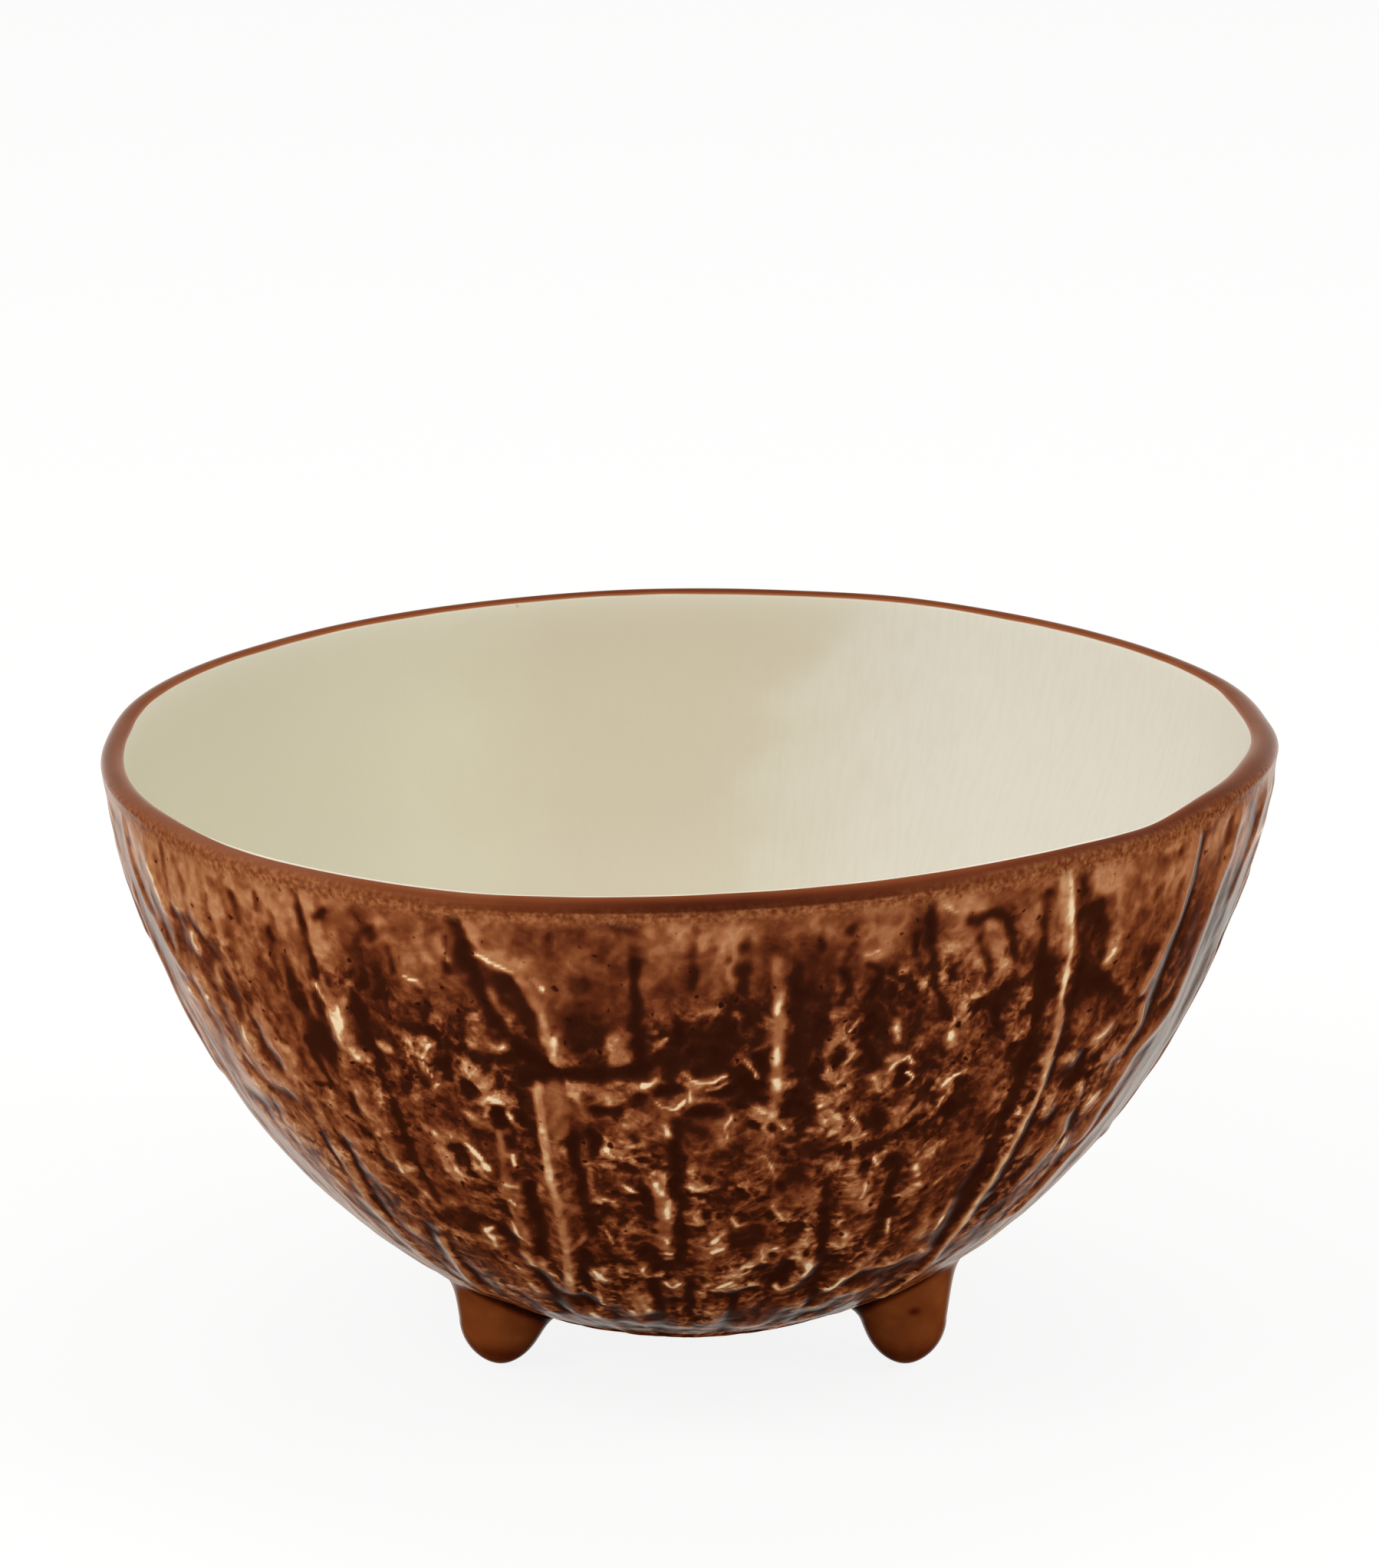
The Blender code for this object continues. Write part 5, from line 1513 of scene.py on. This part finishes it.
# What gloss reflects, from straight down at 0 by the horizon at 0.5 to straight up at 1
BACKDROP_BY_HEIGHT = [
    (0.13, "#3a3836"), (0.25, "#d8d8d8"), (0.47, "#d8d8d8"), (0.60, "#969492"), (0.72, "#6a6866"),
    (1.00, "#5c5a58"),
]
ROOM_BY_HEIGHT = [(0.35, "#171615"), (0.62, "#4a4846"), (0.75, "#6a6866"), (1.00, "#5c5a58")]
SOFT_LIGHT = 0.62


def make_world():
    """White to the camera. For gloss a white backdrop in a dim room, for the rest an even soft light."""
    world = bpy.data.worlds.new("studio")
    bpy.context.scene.world = world
    world.use_nodes = True
    tree = world.node_tree
    background = tree.nodes["Background"]
    ray = add(tree, "ShaderNodeLightPath")
    direction = add(tree, "ShaderNodeTexCoord").outputs["Generated"]
    parts = add(tree, "ShaderNodeSeparateXYZ", {"Vector": direction})
    height = add(tree, "ShaderNodeMapRange", {"Value": parts.outputs["Z"], "From Min": -1.0, "From Max": 1.0})
    backdrop, room = [
        add(tree, "ShaderNodeValToRGB", {"Fac": height.outputs["Result"]}, stops=stops).outputs["Color"]
        for stops in (BACKDROP_BY_HEIGHT, ROOM_BY_HEIGHT)
    ]

    # The backdrop stands behind the bowl, is brighter at both sides, and is cut back past them
    sideways = add(tree, "ShaderNodeMath", {0: parts.outputs["X"]}, operation="ABSOLUTE").outputs[0]
    past_side = add(tree, "ShaderNodeMapRange", {"Value": sideways, "From Min": 0.3, "To Max": -0.4})
    reach = add(tree, "ShaderNodeMath", {
        0: parts.outputs["Y"], 1: past_side.outputs["Result"],
    }, operation="ADD")
    behind = add(tree, "ShaderNodeMapRange", {"Value": reach.outputs[0], "From Min": 0.45, "From Max": 0.85})
    shine = add(tree, "ShaderNodeMix", {0: behind.outputs["Result"], 6: room, 7: backdrop}, data_type="RGBA")
    beside = add(tree, "ShaderNodeMapRange", {
        "Value": sideways, "From Min": 0.1, "From Max": 0.35, "To Min": 1.0, "To Max": 1.4,
    })
    brighter = add(tree, "ShaderNodeMath", {
        0: shine.outputs[2], 1: beside.outputs["Result"],
    }, operation="MULTIPLY")
    glossy = add(tree, "ShaderNodeMix", {
        0: ray.outputs["Is Glossy Ray"], 2: SOFT_LIGHT, 3: brighter.outputs[0],
    }, data_type="FLOAT")
    level = add(tree, "ShaderNodeMix", {
        0: ray.outputs["Is Camera Ray"], 2: glossy.outputs[0], 3: 1.0,
    }, data_type="FLOAT")
    tree.links.new(level.outputs[0], background.inputs["Strength"])
    tint = add(tree, "ShaderNodeMix", {
        0: ray.outputs["Is Glossy Ray"], 6: linear("#ffffff"), 7: linear("#fff8ee"),
    }, data_type="RGBA")
    tree.links.new(tint.outputs[2], background.inputs["Color"])


FLOOR_HALF = 3.0
FLOOR_DROP = 0.0001  # the feet stand clear of the paper by this
FLOOR_WHITE_SHARE = 0.88  # of what the camera sees of it


def make_floor():
    """A sheet of white paper, lit so far that it nearly merges with the backdrop."""
    half = FLOOR_HALF
    corners = [(-half, -half, 0), (half, -half, 0), (half, half, 0), (-half, half, 0)]
    mesh = bpy.data.meshes.new("floor")
    mesh.from_pydata(corners, [], [(0, 1, 2, 3)])
    floor = bpy.data.objects.new("floor", mesh)
    bpy.context.scene.collection.objects.link(floor)
    floor.location.z = -FLOOR_DROP
    floor.visible_glossy = False
    material, tree, shader = new_material("matt_white_paper")
    shader.inputs["Base Color"].default_value = linear("#f4f3f0")
    shader.inputs["Roughness"].default_value = 0.9
    ray = add(tree, "ShaderNodeLightPath")
    white = add(tree, "ShaderNodeEmission", {"Color": linear("#ffffff"), "Strength": 1.0})
    share = add(tree, "ShaderNodeMath", {
        0: ray.outputs["Is Camera Ray"], 1: FLOOR_WHITE_SHARE,
    }, operation="MULTIPLY")
    mixed = add(tree, "ShaderNodeMixShader", {0: share.outputs[0], 1: shader.outputs[0], 2: white.outputs[0]})
    tree.links.new(mixed.outputs[0], tree.nodes["Material Output"].inputs["Surface"])
    mesh.materials.append(material)


# Soft lamps: name, place, size and power
LAMP_AIM = (0.0, 0.0, 0.05)
LAMPS = [
    ("key_left", (-0.9, -0.7, 1.0), (0.6, 0.8), 10.0),
    ("fill_right", (1.1, -0.3, 0.8), (0.5, 0.9), 6.0),
    ("top", (0.0, 0.3, 1.3), (0.9, 0.7), 4.5),
]


def make_light():
    for name, place, size, power in LAMPS:
        data = bpy.data.lights.new(name, "AREA")
        data.shape = "RECTANGLE"
        data.size, data.size_y = size
        data.energy = power
        lamp = bpy.data.objects.new(name, data)
        bpy.context.scene.collection.objects.link(lamp)
        direction = Vector(LAMP_AIM) - Vector(place)
        lamp.location = place
        lamp.rotation_euler = direction.to_track_quat("-Z", "Y").to_euler()
        lamp.visible_glossy = False


def main():
    surface, depth, crust = make_relief()
    make_husk(surface, depth, crust)
    make_lining()
    make_band()
    make_feet()
    make_floor()
    make_world()
    make_light()
    make_camera()
    bpy.context.scene.view_settings.view_transform = "Standard"


main()

bpy.context.view_layer.update()
